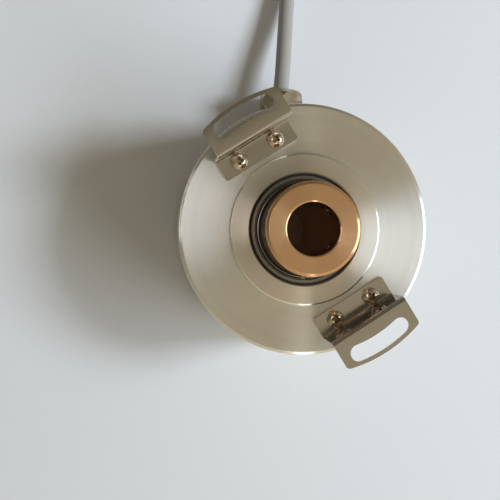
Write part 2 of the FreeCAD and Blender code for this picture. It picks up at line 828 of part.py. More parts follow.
def bracket():
    """One Z-bent bracket, drawn along Y: plate on the face, wall, and slotted flange."""
    inner = bracket_bend
    outer = bracket_bend + bracket_t
    wall_in = bracket_wall_y
    wall_out = wall_in + bracket_t
    low = body_h
    high = body_h + bracket_h
    under = high - bracket_t
    plate_y = wall_in - bracket_plate_l
    tip_y = bracket_outer_r + overrun
    slant = math.sqrt(0.5)
    left = wall_in - inner
    right = wall_out + inner
    bend_low = low + outer
    bend_high = high - outer

    def spot(y, z):
        return Vector(-bracket_w / 2, y, z)

    def line(a, b):
        return Part.LineSegment(spot(*a), spot(*b)).toShape()

    def arc(a, b, c):
        return Part.Arc(spot(*a), spot(*b), spot(*c)).toShape()

    profile = Part.Wire([
        line((plate_y, low), (left, low)),
        arc((left, low), (left + outer * slant, bend_low - outer * slant), (wall_out, bend_low)),
        line((wall_out, bend_low), (wall_out, bend_high)),
        arc((wall_out, bend_high), (right - inner * slant, bend_high + inner * slant), (right, under)),
        line((right, under), (tip_y, under)),
        line((tip_y, under), (tip_y, high)),
        line((tip_y, high), (right, high)),
        arc((right, high), (right - outer * slant, bend_high + outer * slant), (wall_in, bend_high)),
        line((wall_in, bend_high), (wall_in, bend_low)),
        arc((wall_in, bend_low), (left + inner * slant, bend_low - inner * slant), (left, bracket_z)),
        line((left, bracket_z), (plate_y, bracket_z)),
        line((plate_y, bracket_z), (plate_y, low)),
    ])
    sheet = Part.Face(profile).extrude(Vector(bracket_w, 0, 0))
    sheet = sheet.common(rod(2 * bracket_outer_r, low - overrun, high + overrun))
    corners = []
    for edge in sheet.Edges:
        ends = [vertex.Point for vertex in edge.Vertexes]
        rise = abs(ends[0].z - ends[-1].z)
        upright = abs(rise - bracket_t) < press_gap and abs(edge.Length - rise) < press_gap
        if upright and abs(abs(ends[0].x) - bracket_w / 2) < press_gap:
            corners.append(edge)
    sheet = sheet.makeFillet(bracket_corner, corners)
    holes = []
    for x, y in bracket_screw_spots()[:2]:
        holes.append(rod(bracket_hole_d, low - overrun, bracket_z + overrun, x, y))
    return sheet.cut(holes + [bracket_slot(high)])


def bracket_slot(high):
    """The arc slot, on a circle round the shaft, with round ends."""
    low = high - bracket_t - overrun
    span = 2 * slot_half_deg
    band = Part.Face(Part.makePolygon([
        Vector(slot_r - slot_w / 2, 0, low), Vector(slot_r + slot_w / 2, 0, low),
        Vector(slot_r + slot_w / 2, 0, high + overrun), Vector(slot_r - slot_w / 2, 0, high + overrun),
        Vector(slot_r - slot_w / 2, 0, low),
    ])).revolve(ORIGIN, UP, span)
    band = about_z(band, 90 - slot_half_deg)
    ends = spread(rod(slot_w, low, high + overrun), slot_r, (90 - slot_half_deg, 90 + slot_half_deg))
    return band.fuse(ends).removeSplitter()


def bracket_screws():
    screw = pan_screw(m3_d, m3_head_d, m3_head_h, bracket_screw_l - run_gap).cut(cross_recess(m3_head_h))
    return [moved(screw, x, y, bracket_z) for x, y in bracket_screw_spots()]


def gland_body():
    shank = rod(gland_thread_d, locknut_r - run_gap, hex_r + gland_hex_t / 2)
    collar = hexagon(gland_flats, hex_r, nose_r)
    nose = rod(gland_nose_d, nose_r - gland_hex_t / 2, nose_r + gland_nose_l)
    bore = rod(gland_bore_d, locknut_r - overrun, nut_end)
    return at_gland(shank.fuse([collar, nose]).cut(bore))


def gland_nut():
    """The domed nut: a hexagon whose outer end is rounded off round the cable."""
    low = nose_r + run_gap
    corner_r = gland_flats / math.sqrt(3)
    bevel = corner_r - gland_flats / 2
    dome_z = nut_end - gland_nut_dome
    mouth_r = gland_mouth_d / 2
    end_r = corner_r - gland_nut_dome
    slant = math.sqrt(0.5) * gland_nut_dome
    edges = [
        Part.LineSegment(Vector(mouth_r, 0, low), Vector(corner_r - bevel, 0, low)).toShape(),
        Part.LineSegment(Vector(corner_r - bevel, 0, low), Vector(corner_r, 0, low + bevel)).toShape(),
        Part.LineSegment(Vector(corner_r, 0, low + bevel), Vector(corner_r, 0, dome_z)).toShape(),
        Part.Arc(
            Vector(corner_r, 0, dome_z), Vector(end_r + slant, 0, dome_z + slant), Vector(end_r, 0, nut_end),
        ).toShape(),
        Part.LineSegment(Vector(end_r, 0, nut_end), Vector(mouth_r, 0, nut_end)).toShape(),
        Part.LineSegment(Vector(mouth_r, 0, nut_end), Vector(mouth_r, 0, low)).toShape(),
    ]
    dome = Part.Face(Part.Wire(edges)).revolve(ORIGIN, UP, 360)
    hollow = rod(gland_nose_d + 2 * slip_gap, low - overrun, nut_end - gland_nut_face)
    return at_gland(dome.common(hexagon(gland_flats, low, nut_end)).cut(hollow))


def gland_seal():
    low = nose_r + gland_nose_l + press_gap
    high = nut_end - gland_nut_face - press_gap
    return at_gland(ring(cable_d / 2 + press_gap, gland_nose_d / 2, low, high))


def gland_washer():
    return at_gland(ring(gland_thread_d / 2 + slip_gap, gland_washer_d / 2, flat_r, hex_r))


def gland_locknut():
    nut = hexagon(gland_flats, locknut_r, pad_r)
    return at_gland(nut.cut(rod(gland_thread_d + 2 * screw_gap, locknut_r - overrun, pad_r + overrun)))


def cable_stub():
    """The cable's end inside the gland and the cover."""
    start = cable_start()
    past = Part.makeCylinder(cable_d, cable_d, start, Vector(*route[0]) - start)
    return at_gland(rod(cable_d, locknut_r - stub_inside, cable_start_r + cable_d / 2)).cut(past)


def cable_start():
    angle = math.radians(gland_angle)
    return Vector(cable_start_r * math.cos(angle), cable_start_r * math.sin(angle), gland_h)


def coil_layers():
    """The heights of the middle of the coil's lowest and highest turns, three, two and one to a layer."""
    low = coil_raise + cable_d / 2
    return low, low + cable_d * math.sqrt(3)


def coil_outline(grow):
    """The outline of the coil's cross-section, grown by a clearance on every side."""
    low, high = coil_layers()
    radius = cable_d / 2 + grow
    wide = cable_d + radius
    narrow = radius * math.tan(math.radians(30))
    shoulder = low + radius * math.tan(math.radians(15))
    return [
        (coil_mid_r - wide, low - radius), (coil_mid_r + wide, low - radius),
        (coil_mid_r + wide, shoulder), (coil_mid_r + narrow, high + radius),
        (coil_mid_r - narrow, high + radius), (coil_mid_r - wide, shoulder),
    ]


def coil_point(radius, degrees, height):
    angle = math.radians(degrees)
    x, y = coil_centre
    return Vector(x + radius * math.cos(angle), y + radius * math.sin(angle), height)


def coil_direction(degrees):
    """The way the cable runs round the coil, anticlockwise from above."""
    angle = math.radians(degrees)
    return Vector(-math.sin(angle), math.cos(angle), 0)


def coil_entry():
    """Where the cable reaches the coil, on its way to the lower layer's outer turn."""
    onto = coil_point(coil_mid_r + cable_d, coil_entry_deg, coil_layers()[0])
    return onto - coil_direction(coil_entry_deg) * coil_entry_l


def coil_tail():
    """The cable's last stretch: off the top turn, over the outer turns and down to the table."""
    high = coil_layers()[1]
    leave = coil_point(coil_mid_r, coil_leave_deg, high)
    points = []
    for share, height in ((0, high), (tail_crest, high), (tail_foot, cable_d / 2), (1, cable_d / 2)):
        spot = leave + coil_direction(coil_leave_deg) * (coil_tail_l * share)
        points.append((spot.x, spot.y, height))
    return points


def cable_coil():
    """The outer shape of the wound cable, with its two ends leading off it."""
    bundle = moved(turned(coil_outline(0)), coil_centre[0], coil_centre[1], 0)
    entry = Part.makeCylinder(cable_d / 2, coil_entry_l, coil_entry(), coil_direction(coil_entry_deg))
    return bundle.fuse([entry, tube(coil_tail()[1:], cable_d), tube(coil_tail()[:2], cable_d)])


def signal_cable():
    lead = coil_entry() - coil_direction(coil_entry_deg) * coil_lead_l
    points = [tuple(cable_start())] + route + [tuple(lead), tuple(coil_entry())]
    spots = [Vector(*point) for point in points]
    radii = [corner_radius(a, b, c) for a, b, c in zip(spots, spots[1:], spots[2:])]
    print("cable bend radii", [round(radius) for radius in radii])
    solid = tube(points, cable_d)
    length = solid.Volume / (math.pi * cable_d * cable_d / 4)
    print("cable length to the coil", round(length, 1), "valid", solid.isValid())
    return solid


def coil_tie():
    """A flat strap round the coil's turns."""
    outline = [Vector(r, -tie_w / 2, z) for r, z in coil_outline(tie_gap + tie_t)]
    loop = Part.Face(Part.makePolygon(outline + outline[:1])).extrude(Vector(0, tie_w, 0))
    strap = loop.cut(turned(coil_outline(tie_gap)))
    return moved(about_z(strap, tie_turn), coil_centre[0], coil_centre[1], 0)


def flying_leads():
    """The bared cores at the cable's far end, fanned out on the table."""
    start = Vector(*coil_tail()[-1])
    way = coil_direction(coil_leave_deg)
    side = Vector(-way.y, way.x, 0)
    wires = []
    for share, across, rise in lead_roots():
        fan = math.tan(math.radians(flying_fan_deg)) * share
        root = start + side * across + UP * rise
        points = [tuple(root)]
        for part, bent in flying_steps:
            spot = root + way * (flying_l * part) + side * (fan * flying_l * bent)
            points.append((spot.x, spot.y, lead_d / 2 if bent else root.z))
        wires.append(tube(points, lead_d))
    return wires


def build_body():
    save("front_flange", front_flange())
    save("rear_cover", rear_cover())
    save("cover_seal_ring", cover_seal_ring())
    save("cover_screws", *spread(cover_screw(), post_r, post_angles))
    save("upper_posts", *spread(upper_post(), post_r, post_angles))
    save("lower_posts", *spread(lower_post(), post_r, post_angles))
    save("upper_bracket", bracket())
    save("lower_bracket", about_z(bracket(), 180))
    save("bracket_screws", *bracket_screws())


def build_bearings():
    for name, low in (("front", front_z), ("rear", rear_z)):
        save(name + "_bearing_outer_ring", outer_ring(low))
        save(name + "_bearing_inner_ring", inner_ring(low))
        save(name + "_bearing_balls", *balls(low))
        save(name + "_bearing_cage", cage(low))
        save(name + "_bearing_shields", *shields(low))
    save("wave_washer", wave_washer())
    save("housing_snap_ring", housing_snap_ring())


def build_rotor():
    save("hollow_shaft", hollow_shaft())
    save("shaft_set_screws", *shaft_set_screws())
    save("shaft_snap_ring", shaft_snap_ring())
    save("disc_hub", disc_hub())
    save("hub_set_screws", *hub_set_screws())
    save("code_disc", code_disc())
    save("disc_clamp_ring", disc_clamp_ring())
    save("disc_clamp_screws", *disc_clamp_screws())


def build_electronics():
    save("led_holder", led_holder())
    save("led_holder_screws", *led_holder_screws())
    save("led", led())
    save("led_leads", *led_leads())
    save("sensor_carrier", sensor_block(carrier_l, carrier_w, board_z1, detector_z))
    save("photodetector", sensor_block(detector_l, detector_w, detector_z, reticle_z))
    save("reticle", sensor_block(detector_l, detector_w, reticle_z, reticle_z + reticle_t))
    save("main_board", main_board())
    save("line_driver_chip", line_driver_chip())
    save("board_capacitors", *board_capacitors())
    save("lead_header", lead_header())
    save("lead_plug", lead_plug())
    save("inner_leads", *inner_leads())


def build_cable():
    save("gland_body", gland_body())
    save("gland_washer", gland_washer())
    save("gland_locknut", gland_locknut())
    save("gland_seal", gland_seal())
    save("gland_nut", gland_nut())
    save("cable_stub", cable_stub())
    save("signal_cable", signal_cable())
    save("cable_coil", cable_coil())
    save("coil_tie", coil_tie())
    save("flying_leads", *flying_leads())


os.makedirs("parts", exist_ok=True)
build_body()
build_bearings()
build_rotor()
build_electronics()
build_cable()
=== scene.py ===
import math

import bmesh
import bpy
from mathutils import Matrix, Vector


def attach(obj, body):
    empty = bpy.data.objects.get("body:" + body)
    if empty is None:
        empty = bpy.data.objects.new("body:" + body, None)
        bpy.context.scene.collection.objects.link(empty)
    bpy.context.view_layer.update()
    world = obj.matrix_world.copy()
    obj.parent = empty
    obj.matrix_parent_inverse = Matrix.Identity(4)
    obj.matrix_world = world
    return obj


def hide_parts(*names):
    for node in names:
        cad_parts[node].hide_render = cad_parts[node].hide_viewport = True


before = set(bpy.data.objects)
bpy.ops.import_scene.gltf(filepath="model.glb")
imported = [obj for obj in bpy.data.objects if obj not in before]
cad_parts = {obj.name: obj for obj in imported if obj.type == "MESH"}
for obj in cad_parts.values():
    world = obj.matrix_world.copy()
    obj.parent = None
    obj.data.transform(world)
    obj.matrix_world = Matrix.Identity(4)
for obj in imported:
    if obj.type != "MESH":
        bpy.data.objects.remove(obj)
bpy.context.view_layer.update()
scene = bpy.context.scene
scene.view_settings.view_transform = "Standard"

# Lengths are millimetres, and MM turns them into Blender's metres. The lamps, table and room are in metres.
MM = 0.001

# The photograph's camera: where it stands beside the shaft's axis, and how it leans.
photo_turn = math.radians(-31.8)
camera_spot = (-45.85, -2.6, 282.87)
camera_lean = math.radians(-6.79)
camera_tilt = math.radians(-0.93)
camera_lens = 54.75


def photo_to_part(matrix):
    """Turns a place in the photograph's frame to the part's own."""
    return Matrix.Rotation(photo_turn, 4, "Z") @ matrix


def photo_camera():
    """The camera that took the photograph."""
    data = bpy.data.cameras.new("photo_camera")
    data.sensor_width = 36.0
    data.lens = camera_lens
    data.clip_start = 0.01
    data.clip_end = 50.0
    camera = bpy.data.objects.new("photo_camera", data)
    scene.collection.objects.link(camera)
    turn = Matrix.Rotation(camera_lean, 4, "Y") @ Matrix.Rotation(camera_tilt, 4, "X")
    camera.matrix_world = photo_to_part(Matrix.Translation(Vector(camera_spot) * MM) @ turn)
    scene.camera = camera


# The cable's route from the gland to the coil.
cable_d = 5.5
cable_route = [
    (23.606, 42.939, 12.0),
    (28.8, 49.5, 10.8),
    (35.3, 58.1, 8.3),
    (42.2, 67.2, 5.7),
    (48.4, 75.4, 4.2),
]
coil_centre = (34.0, 123.1)
coil_raise = 0.7
coil_mid_r = 27.5
coil_entry_deg = -19.8
coil_leave_deg = 90.0
coil_entry_l = 21.0
coil_lead_l = 9.0
coil_tail_l = 47.0
coil_pitch = 5.55
coil_full_turns = 5
coil_steps = 24
coil_change_step = 8
coil_roll_deg = 120


def round_spot(radius, degrees, centre=(0, 0)):
    """The point at an angle on a circle."""
    angle = math.radians(degrees)
    return (centre[0] + radius * math.cos(angle), centre[1] + radius * math.sin(angle))


def coil_direction(degrees):
    """The way the cable runs round the coil, anticlockwise from above."""
    angle = math.radians(degrees)
    return Vector((-math.sin(angle), math.cos(angle), 0))


def coil_point(radius, degrees, height):
    """A place on the coil."""
    return Vector((*round_spot(radius, degrees, coil_centre), height))


def coil_places(share):
    """Each turn's radius and height, once it is a share of the way over to the next turn's place."""
    low = coil_raise + cable_d / 2
    slide = coil_pitch * share
    lean = math.radians(coil_roll_deg * share)
    outer = (coil_mid_r + coil_pitch - slide, low)
    middle = (coil_mid_r - slide, low)
    inner = (middle[0] - coil_pitch * math.cos(lean), low + coil_pitch * math.sin(lean))
    gap = max(coil_pitch / 2 - 2 * min(slide, coil_pitch - slide), 0)
    upper = (coil_mid_r - coil_pitch / 2 + slide, low + math.sqrt(coil_pitch ** 2 - gap ** 2))
    climbing = (upper[0] + coil_pitch * math.cos(lean), upper[1] + coil_pitch * math.sin(lean))
    top = (coil_mid_r, low + coil_pitch * math.sqrt(3))
    return [outer, middle, inner, upper, climbing, top]


def coil_turns():
    """The wound cable: three turns on the table from the outside in, two over them and part of one more."""
    swell = 1 / math.cos(math.pi / coil_steps)
    step_deg = 360 / coil_steps
    last_steps = round((coil_leave_deg - coil_entry_deg) / step_deg)
    points = []
    for turn, steps in enumerate([coil_steps] * coil_full_turns + [last_steps]):
        for step in range(steps):
            way_over = max(step - coil_change_step, 0) / (coil_steps - coil_change_step)
            radius, height = coil_places(way_over ** 2 * (3 - 2 * way_over))[turn]
            points.append(coil_point(radius * swell, coil_entry_deg + len(points) * step_deg, height))
    return points


def cable_tail():
    """Off the top turn, over the outer turns and down to the table."""
    low = cable_d / 2
    radius, high = coil_places(0.0)[-1]
    leave = coil_point(radius, coil_leave_deg, high)
    way = coil_direction(coil_leave_deg)
    points = [leave]
    for reach, height in (
        (7, high + 1.1), (14, high + 1.5), (21, high + 0.3), (28, high - 3.9), (35, low + 1.95), (41, low),
        (coil_tail_l, low),
    ):
        spot = leave + way * reach
        points.append(Vector((spot.x, spot.y, height)))
    return points


def cable_points():
    """The cable's points, from the gland to the end of its jacket."""
    way = coil_direction(coil_entry_deg)
    turns = coil_turns()
    entry = turns[0] - way * coil_entry_l
    lead = entry - way * coil_lead_l
    return [Vector(spot) for spot in cable_route] + [lead, entry] + turns + cable_tail()


def round_line(name, points, radius, roundness, material):
    """A cord or a wire along one smooth line that its points guide."""
    data = bpy.data.curves.new(name, "CURVE")
    data.dimensions = "3D"
    data.bevel_depth = radius * MM
    data.bevel_resolution = roundness
    data.use_fill_caps = True
    spline = data.splines.new("NURBS")
    spline.points.add(len(points) - 1)
    for point, spot in zip(spline.points, points):
        point.co = (spot.x * MM, spot.y * MM, spot.z * MM, 1.0)
    spline.order_u = 3
    spline.use_endpoint_u = True
    spline.resolution_u = 8
    data.materials.append(material)
    line = bpy.data.objects.new(name, data)
    scene.collection.objects.link(line)
    return line


def signal_cord(jacket):
    """The whole cable as one cord."""
    cord = round_line("signal_cord", cable_points(), cable_d / 2, roundness=8, material=jacket)
    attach(cord, "housing")
    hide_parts("signal_cable", "cable_coil")


# Meshes

def piece_of(name, mesh, body, slot, material, *nodes):
    """A finished piece that rides on a body and stands for its CAD nodes."""
    if not mesh.materials:
        mesh.materials.append(material)
    piece = bpy.data.objects.new(name, mesh)
    scene.collection.objects.link(piece)
    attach(piece, body)
    if nodes:
        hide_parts(*nodes)
    return piece


def side_finish(mesh, flat, side, least_rise=0.0):
    """Gives the walls and chamfers of a turned mesh their own finish, or only those that face up enough."""
    flat_rise = 0.97
    mesh.materials.clear()
    mesh.materials.append(flat)
    mesh.materials.append(side)
    for face in mesh.polygons:
        face.material_index = 1 if least_rise <= abs(face.normal.z) < flat_rise else 0


def smooth(mesh, sharp_deg=35.0):
    """Smooth shading, with the sharp edges kept sharp."""
    mesh.shade_smooth()
    mesh.set_sharp_from_angle(angle=math.radians(sharp_deg))
    return mesh


def eased_outline(corners):
    """A closed outline of (radius, height, ease) corners, each rounded by its ease, with flats kept flat."""
    most_of_side = 0.4
    flat_start = 0.25
    steps = 4
    points = []
    for k, (radius, height, ease) in enumerate(corners):
        here = Vector((radius, height))
        if not ease:
            points.append(here)
            continue
        before = Vector(corners[k - 1][:2]) - here
        after = Vector(corners[(k + 1) % len(corners)][:2]) - here
        reach = min(ease, before.length * most_of_side, after.length * most_of_side)
        before.normalize()
        after.normalize()
        start = here + before * reach
        end = here + after * reach
        points.append(start + before * reach * flat_start)
        for step in range(steps + 1):
            t = step / steps
            points.append(start * (1 - t) ** 2 + here * 2 * t * (1 - t) + end * t * t)
        points.append(end + after * reach * flat_start)
    return points


def turned(name, corners, segments=192):
    """A closed ring turned round the shaft's axis from its outline."""
    merge_gap = 0.0001
    outline = eased_outline(corners)
    count = len(outline)
    verts = []
    faces = []
    for turn in range(segments):
        angle = 2 * math.pi * turn / segments
        for point in outline:
            verts.append((point.x * math.cos(angle) * MM, point.x * math.sin(angle) * MM, point.y * MM))
        this = turn * count
        other = (turn + 1) % segments * count
        for k in range(count):
            after = (k + 1) % count
            faces.append((this + k, this + after, other + after, other + k))
    mesh = bpy.data.meshes.new(name)
    mesh.from_pydata(verts, [], faces)
    work = bmesh.new()
    work.from_mesh(mesh)
    bmesh.ops.remove_doubles(work, verts=work.verts, dist=merge_gap * MM)
    bmesh.ops.recalc_face_normals(work, faces=work.faces)
    work.to_mesh(mesh)
    work.free()
    return smooth(mesh)


def rod(radius, low, high, place):
    """A round cutter along its own Z, set in place."""
    work = bmesh.new()
    bmesh.ops.create_cone(
        work, cap_ends=True, segments=64, radius1=radius * MM, radius2=radius * MM, depth=(high - low) * MM,
        matrix=place @ Matrix.Translation((0, 0, (low + high) / 2 * MM)),
    )
    mesh = bpy.data.meshes.new("cutter")
    work.to_mesh(mesh)
    work.free()
    return mesh


def outward(degrees, height):
    """A frame whose Z points out from the shaft's axis, at an angle and a height."""
    turn = Matrix.Rotation(math.radians(degrees), 4, "Z") @ Matrix.Rotation(math.radians(90), 4, "Y")
    return Matrix.Translation((0, 0, height * MM)) @ turn


def plain_mesh(source):
    """An object's mesh with its modifiers applied."""
    bpy.context.view_layer.update()
    return bpy.data.meshes.new_from_object(source.evaluated_get(bpy.context.evaluated_depsgraph_get()))


def carved(mesh, cutters, operation="DIFFERENCE"):
    """A mesh with the cutters taken out of it, or with only what lies inside them kept."""
    source = bpy.data.objects.new("blank", mesh)
    scene.collection.objects.link(source)
    tools = []
    for cutter in cutters:
        tool = bpy.data.objects.new("cutter", cutter)
        scene.collection.objects.link(tool)
        step = source.modifiers.new("cut", "BOOLEAN")
        step.operation = operation
        step.solver = "EXACT"
        step.object = tool
        tools.append(tool)
    result = plain_mesh(source)
    for item in [source] + tools:
        bpy.data.objects.remove(item)
    return smooth(result)


def edged(mesh, edge, angle_deg=32.0):
    """A mesh with its sharp edges rounded and its flats kept flat."""
    source = bpy.data.objects.new("blank", mesh)
    scene.collection.objects.link(source)
    bevel = source.modifiers.new("edge", "BEVEL")
    bevel.width = edge * MM
    bevel.segments = 3
    bevel.limit_method = "ANGLE"
    bevel.angle_limit = math.radians(angle_deg)
    bevel.harden_normals = True
    result = plain_mesh(source)
    bpy.data.objects.remove(source)
    return result


def prism(outline, low, high, place=Matrix()):
    """An even block over a closed outline of points, drawn along its own Z and set in place."""
    work = bmesh.new()
    floor = [work.verts.new((x * MM, y * MM, low * MM)) for x, y in outline]
    roof = [work.verts.new((x * MM, y * MM, high * MM)) for x, y in outline]
    count = len(outline)
    work.faces.new(floor)
    work.faces.new(roof)
    for k in range(count):
        after = (k + 1) % count
        work.faces.new((floor[k], floor[after], roof[after], roof[k]))
    bmesh.ops.transform(work, matrix=place, verts=work.verts)
    bmesh.ops.recalc_face_normals(work, faces=work.faces)
    mesh = bpy.data.meshes.new("block")
    work.to_mesh(mesh)
    work.free()
    return mesh


def arc(centre, radius, start_deg, end_deg, steps):
    """Points along part of a circle."""
    degrees = [start_deg + (end_deg - start_deg) * step / steps for step in range(steps + 1)]
    return [round_spot(radius, at, centre) for at in degrees]


def arc_slot(radius, half_w, start_deg, end_deg):
    """The outline of a slot with round ends, bent round the shaft's axis."""
    start = round_spot(radius, start_deg)
    end = round_spot(radius, end_deg)
    outline = arc((0, 0), radius + half_w, start_deg, end_deg, 48)
    outline += arc(end, half_w, end_deg, end_deg + 180, 24)[1:-1]
    outline += arc((0, 0), radius - half_w, end_deg, start_deg, 48)
    outline += arc(start, half_w, start_deg + 180, start_deg + 360, 24)[1:-1]
    return outline


def eased_copy(node, edge, angle_deg=32.0):
    """A CAD node's mesh, merged, with its sharp edges rounded."""
    merge_gap = 0.001
    flat_deg = 0.6
    work = bmesh.new()
    work.from_mesh(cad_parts[node].data)
    bmesh.ops.remove_doubles(work, verts=work.verts, dist=merge_gap * MM)
    bmesh.ops.dissolve_limit(work, angle_limit=math.radians(flat_deg), verts=work.verts, edges=work.edges)
    mesh = bpy.data.meshes.new(node)
    index = {vert: k for k, vert in enumerate(work.verts)}
    mesh.from_pydata([v.co for v in work.verts], [], [[index[v] for v in face.verts] for face in work.faces])
    work.free()
    return edged(smooth(mesh, angle_deg), edge, angle_deg)


# Shader groups and finishes

def shader_group(name, inputs, outputs):
    """An empty shader group with its named inputs and outputs."""
    tree = bpy.data.node_groups.new(name, "ShaderNodeTree")
    for label, kind, value in inputs:
        socket = tree.interface.new_socket(label, in_out="INPUT", socket_type=kind)
        if value is not None:
            socket.default_value = value
    for label in outputs:
        tree.interface.new_socket(label, in_out="OUTPUT", socket_type="NodeSocketFloat")
    return tree, tree.nodes.new("NodeGroupInput"), tree.nodes.new("NodeGroupOutput")


def math_node(tree, operation, first, second):
    """One operation on two sockets or numbers, given as its result's socket."""
    node = tree.nodes.new("ShaderNodeMath")
    node.operation = operation
    for socket, value in zip(node.inputs, (first, second)):
        if isinstance(value, (int, float)):
            socket.default_value = value
        else:
            tree.links.new(value, socket)
    return node.outputs[0]


def turning_lines_group():
    """Fine lines left by a lathe: rings on a face, hoops on a wall."""
    tree, given, made = shader_group(
        "turning_lines",
        [("Coordinates", "NodeSocketVector", None), ("Pitch", "NodeSocketFloat", 0.0003)],
        ["Tone", "Height"],
    )
    parts = tree.nodes.new("ShaderNodeSeparateXYZ")
    tree.links.new(given.outputs["Coordinates"], parts.inputs[0])
    x2 = math_node(tree, "MULTIPLY", parts.outputs["X"], parts.outputs["X"])
    y2 = math_node(tree, "MULTIPLY", parts.outputs["Y"], parts.outputs["Y"])
    radius = math_node(tree, "SQRT", math_node(tree, "ADD", x2, y2), 0)
    along = math_node(tree, "ADD", radius, parts.outputs["Z"])
    noise = tree.nodes.new("ShaderNodeTexNoise")
    noise.noise_dimensions = "1D"
    noise.inputs["Scale"].default_value = 1.0
    noise.inputs["Detail"].default_value = 6.0
    noise.inputs["Roughness"].default_value = 0.52
    tree.links.new(math_node(tree, "DIVIDE", along, given.outputs["Pitch"]), noise.inputs["W"])
    tree.links.new(noise.outputs["Fac"], made.inputs["Tone"])
    tree.links.new(noise.outputs["Fac"], made.inputs["Height"])
    return tree


def grain_group():
    """A fine even grain, as plating, moulding or a drawn jacket leaves."""
    tree, given, made = shader_group(
        "fine_grain",
        [("Coordinates", "NodeSocketVector", None), ("Size", "NodeSocketFloat", 0.0004),
         ("Stretch", "NodeSocketVector", (1, 1, 1))],
        ["Tone", "Height"],
    )
    noise = tree.nodes.new("ShaderNodeTexNoise")
    noise.inputs["Detail"].default_value = 3.0
    noise.inputs["Roughness"].default_value = 0.6
    pulled = tree.nodes.new("ShaderNodeVectorMath")
    pulled.operation = "MULTIPLY"
    tree.links.new(given.outputs["Coordinates"], pulled.inputs[0])
    tree.links.new(given.outputs["Stretch"], pulled.inputs[1])
    tree.links.new(pulled.outputs[0], noise.inputs["Vector"])
    tree.links.new(math_node(tree, "DIVIDE", 1.0, given.outputs["Size"]), noise.inputs["Scale"])
    tree.links.new(noise.outputs["Fac"], made.inputs["Tone"])
    tree.links.new(noise.outputs["Fac"], made.inputs["Height"])
    return tree


def handling_group():
    """Broad soft marks where hands and cloths have dulled a surface."""
    tree, given, made = shader_group(
        "handling_marks",
        [("Coordinates", "NodeSocketVector", None), ("Size", "NodeSocketFloat", 0.012)],
        ["Mask"],
    )
    noise = tree.nodes.new("ShaderNodeTexNoise")
    noise.inputs["Detail"].default_value = 4.0
    noise.inputs["Distortion"].default_value = 0.8
    tree.links.new(given.outputs["Coordinates"], noise.inputs["Vector"])
    tree.links.new(math_node(tree, "DIVIDE", 1.0, given.outputs["Size"]), noise.inputs["Scale"])
    ramp = tree.nodes.new("ShaderNodeMapRange")
    ramp.interpolation_type = "SMOOTHSTEP"
    ramp.inputs["From Min"].default_value = 0.35
    ramp.inputs["From Max"].default_value = 0.7
    tree.links.new(noise.outputs["Fac"], ramp.inputs["Value"])
    tree.links.new(ramp.outputs["Result"], made.inputs["Mask"])
    return tree


turning_lines = turning_lines_group()
fine_grain = grain_group()
handling_marks = handling_group()


def finish(
    name, light, dark, rough, metallic=0.0, lines=0.0, grain=0.0, stretch=None, marks=12.0, relief=0.1,
    lathe_sheen=0.0, **sockets,
):
    """A finish that runs from dark to light with its lines or grain, and whose gloss varies with handling.

    rough is the roughness where it is clean and where it is dulled. lines, grain and marks are in
    millimetres. A stretch draws the grain out into brushed streaks, and lathe_sheen draws the highlights
    out across turning lines.
    """
    material = bpy.data.materials.new(name)
    material.use_nodes = True
    tree = material.node_tree
    shader = tree.nodes["Principled BSDF"]
    shader.inputs["Metallic"].default_value = metallic
    for label, value in sockets.items():
        shader.inputs[label.replace("_", " ")].default_value = value
    size = (lines or grain) * MM
    place = tree.nodes.new("ShaderNodeTexCoord").outputs["Object"]
    texture = tree.nodes.new("ShaderNodeGroup")
    texture.node_tree = turning_lines if lines else fine_grain
    texture.inputs["Pitch" if lines else "Size"].default_value = size
    if stretch:
        texture.inputs["Stretch"].default_value = stretch
    tree.links.new(place, texture.inputs["Coordinates"])
    dulled = tree.nodes.new("ShaderNodeGroup")
    dulled.node_tree = handling_marks
    dulled.inputs["Size"].default_value = marks * MM
    tree.links.new(place, dulled.inputs["Coordinates"])
    # A Mix node's colour sockets share their names with its other kinds, so they go by number.
    mix_share, mix_first, mix_second, mixed = 0, 6, 7, 2
    colour = tree.nodes.new("ShaderNodeMix")
    colour.data_type = "RGBA"
    colour.inputs[mix_first].default_value = (*dark, 1)
    colour.inputs[mix_second].default_value = (*light, 1)
    tree.links.new(texture.outputs["Tone"], colour.inputs[mix_share])
    tree.links.new(colour.outputs[mixed], shader.inputs["Base Color"])
    gloss = tree.nodes.new("ShaderNodeMapRange")
    gloss.inputs["To Min"].default_value = rough[0]
    gloss.inputs["To Max"].default_value = rough[1]
    tree.links.new(dulled.outputs["Mask"], gloss.inputs["Value"])
    tree.links.new(gloss.outputs["Result"], shader.inputs["Roughness"])
    bump = tree.nodes.new("ShaderNodeBump")
    bump.inputs["Strength"].default_value = relief
    bump.inputs["Distance"].default_value = size / 2
    tree.links.new(texture.outputs["Height"], bump.inputs["Height"])
    tree.links.new(bump.outputs["Normal"], shader.inputs["Normal"])
    if lathe_sheen:
        quarter_turn = 0.25
        shader.inputs["Anisotropic"].default_value = lathe_sheen
        shader.inputs["Anisotropic Rotation"].default_value = quarter_turn
        tangent = tree.nodes.new("ShaderNodeTangent")
        tangent.direction_type = "RADIAL"
        tangent.axis = "Z"
        tree.links.new(tangent.outputs[0], shader.inputs["Tangent"])
    return material


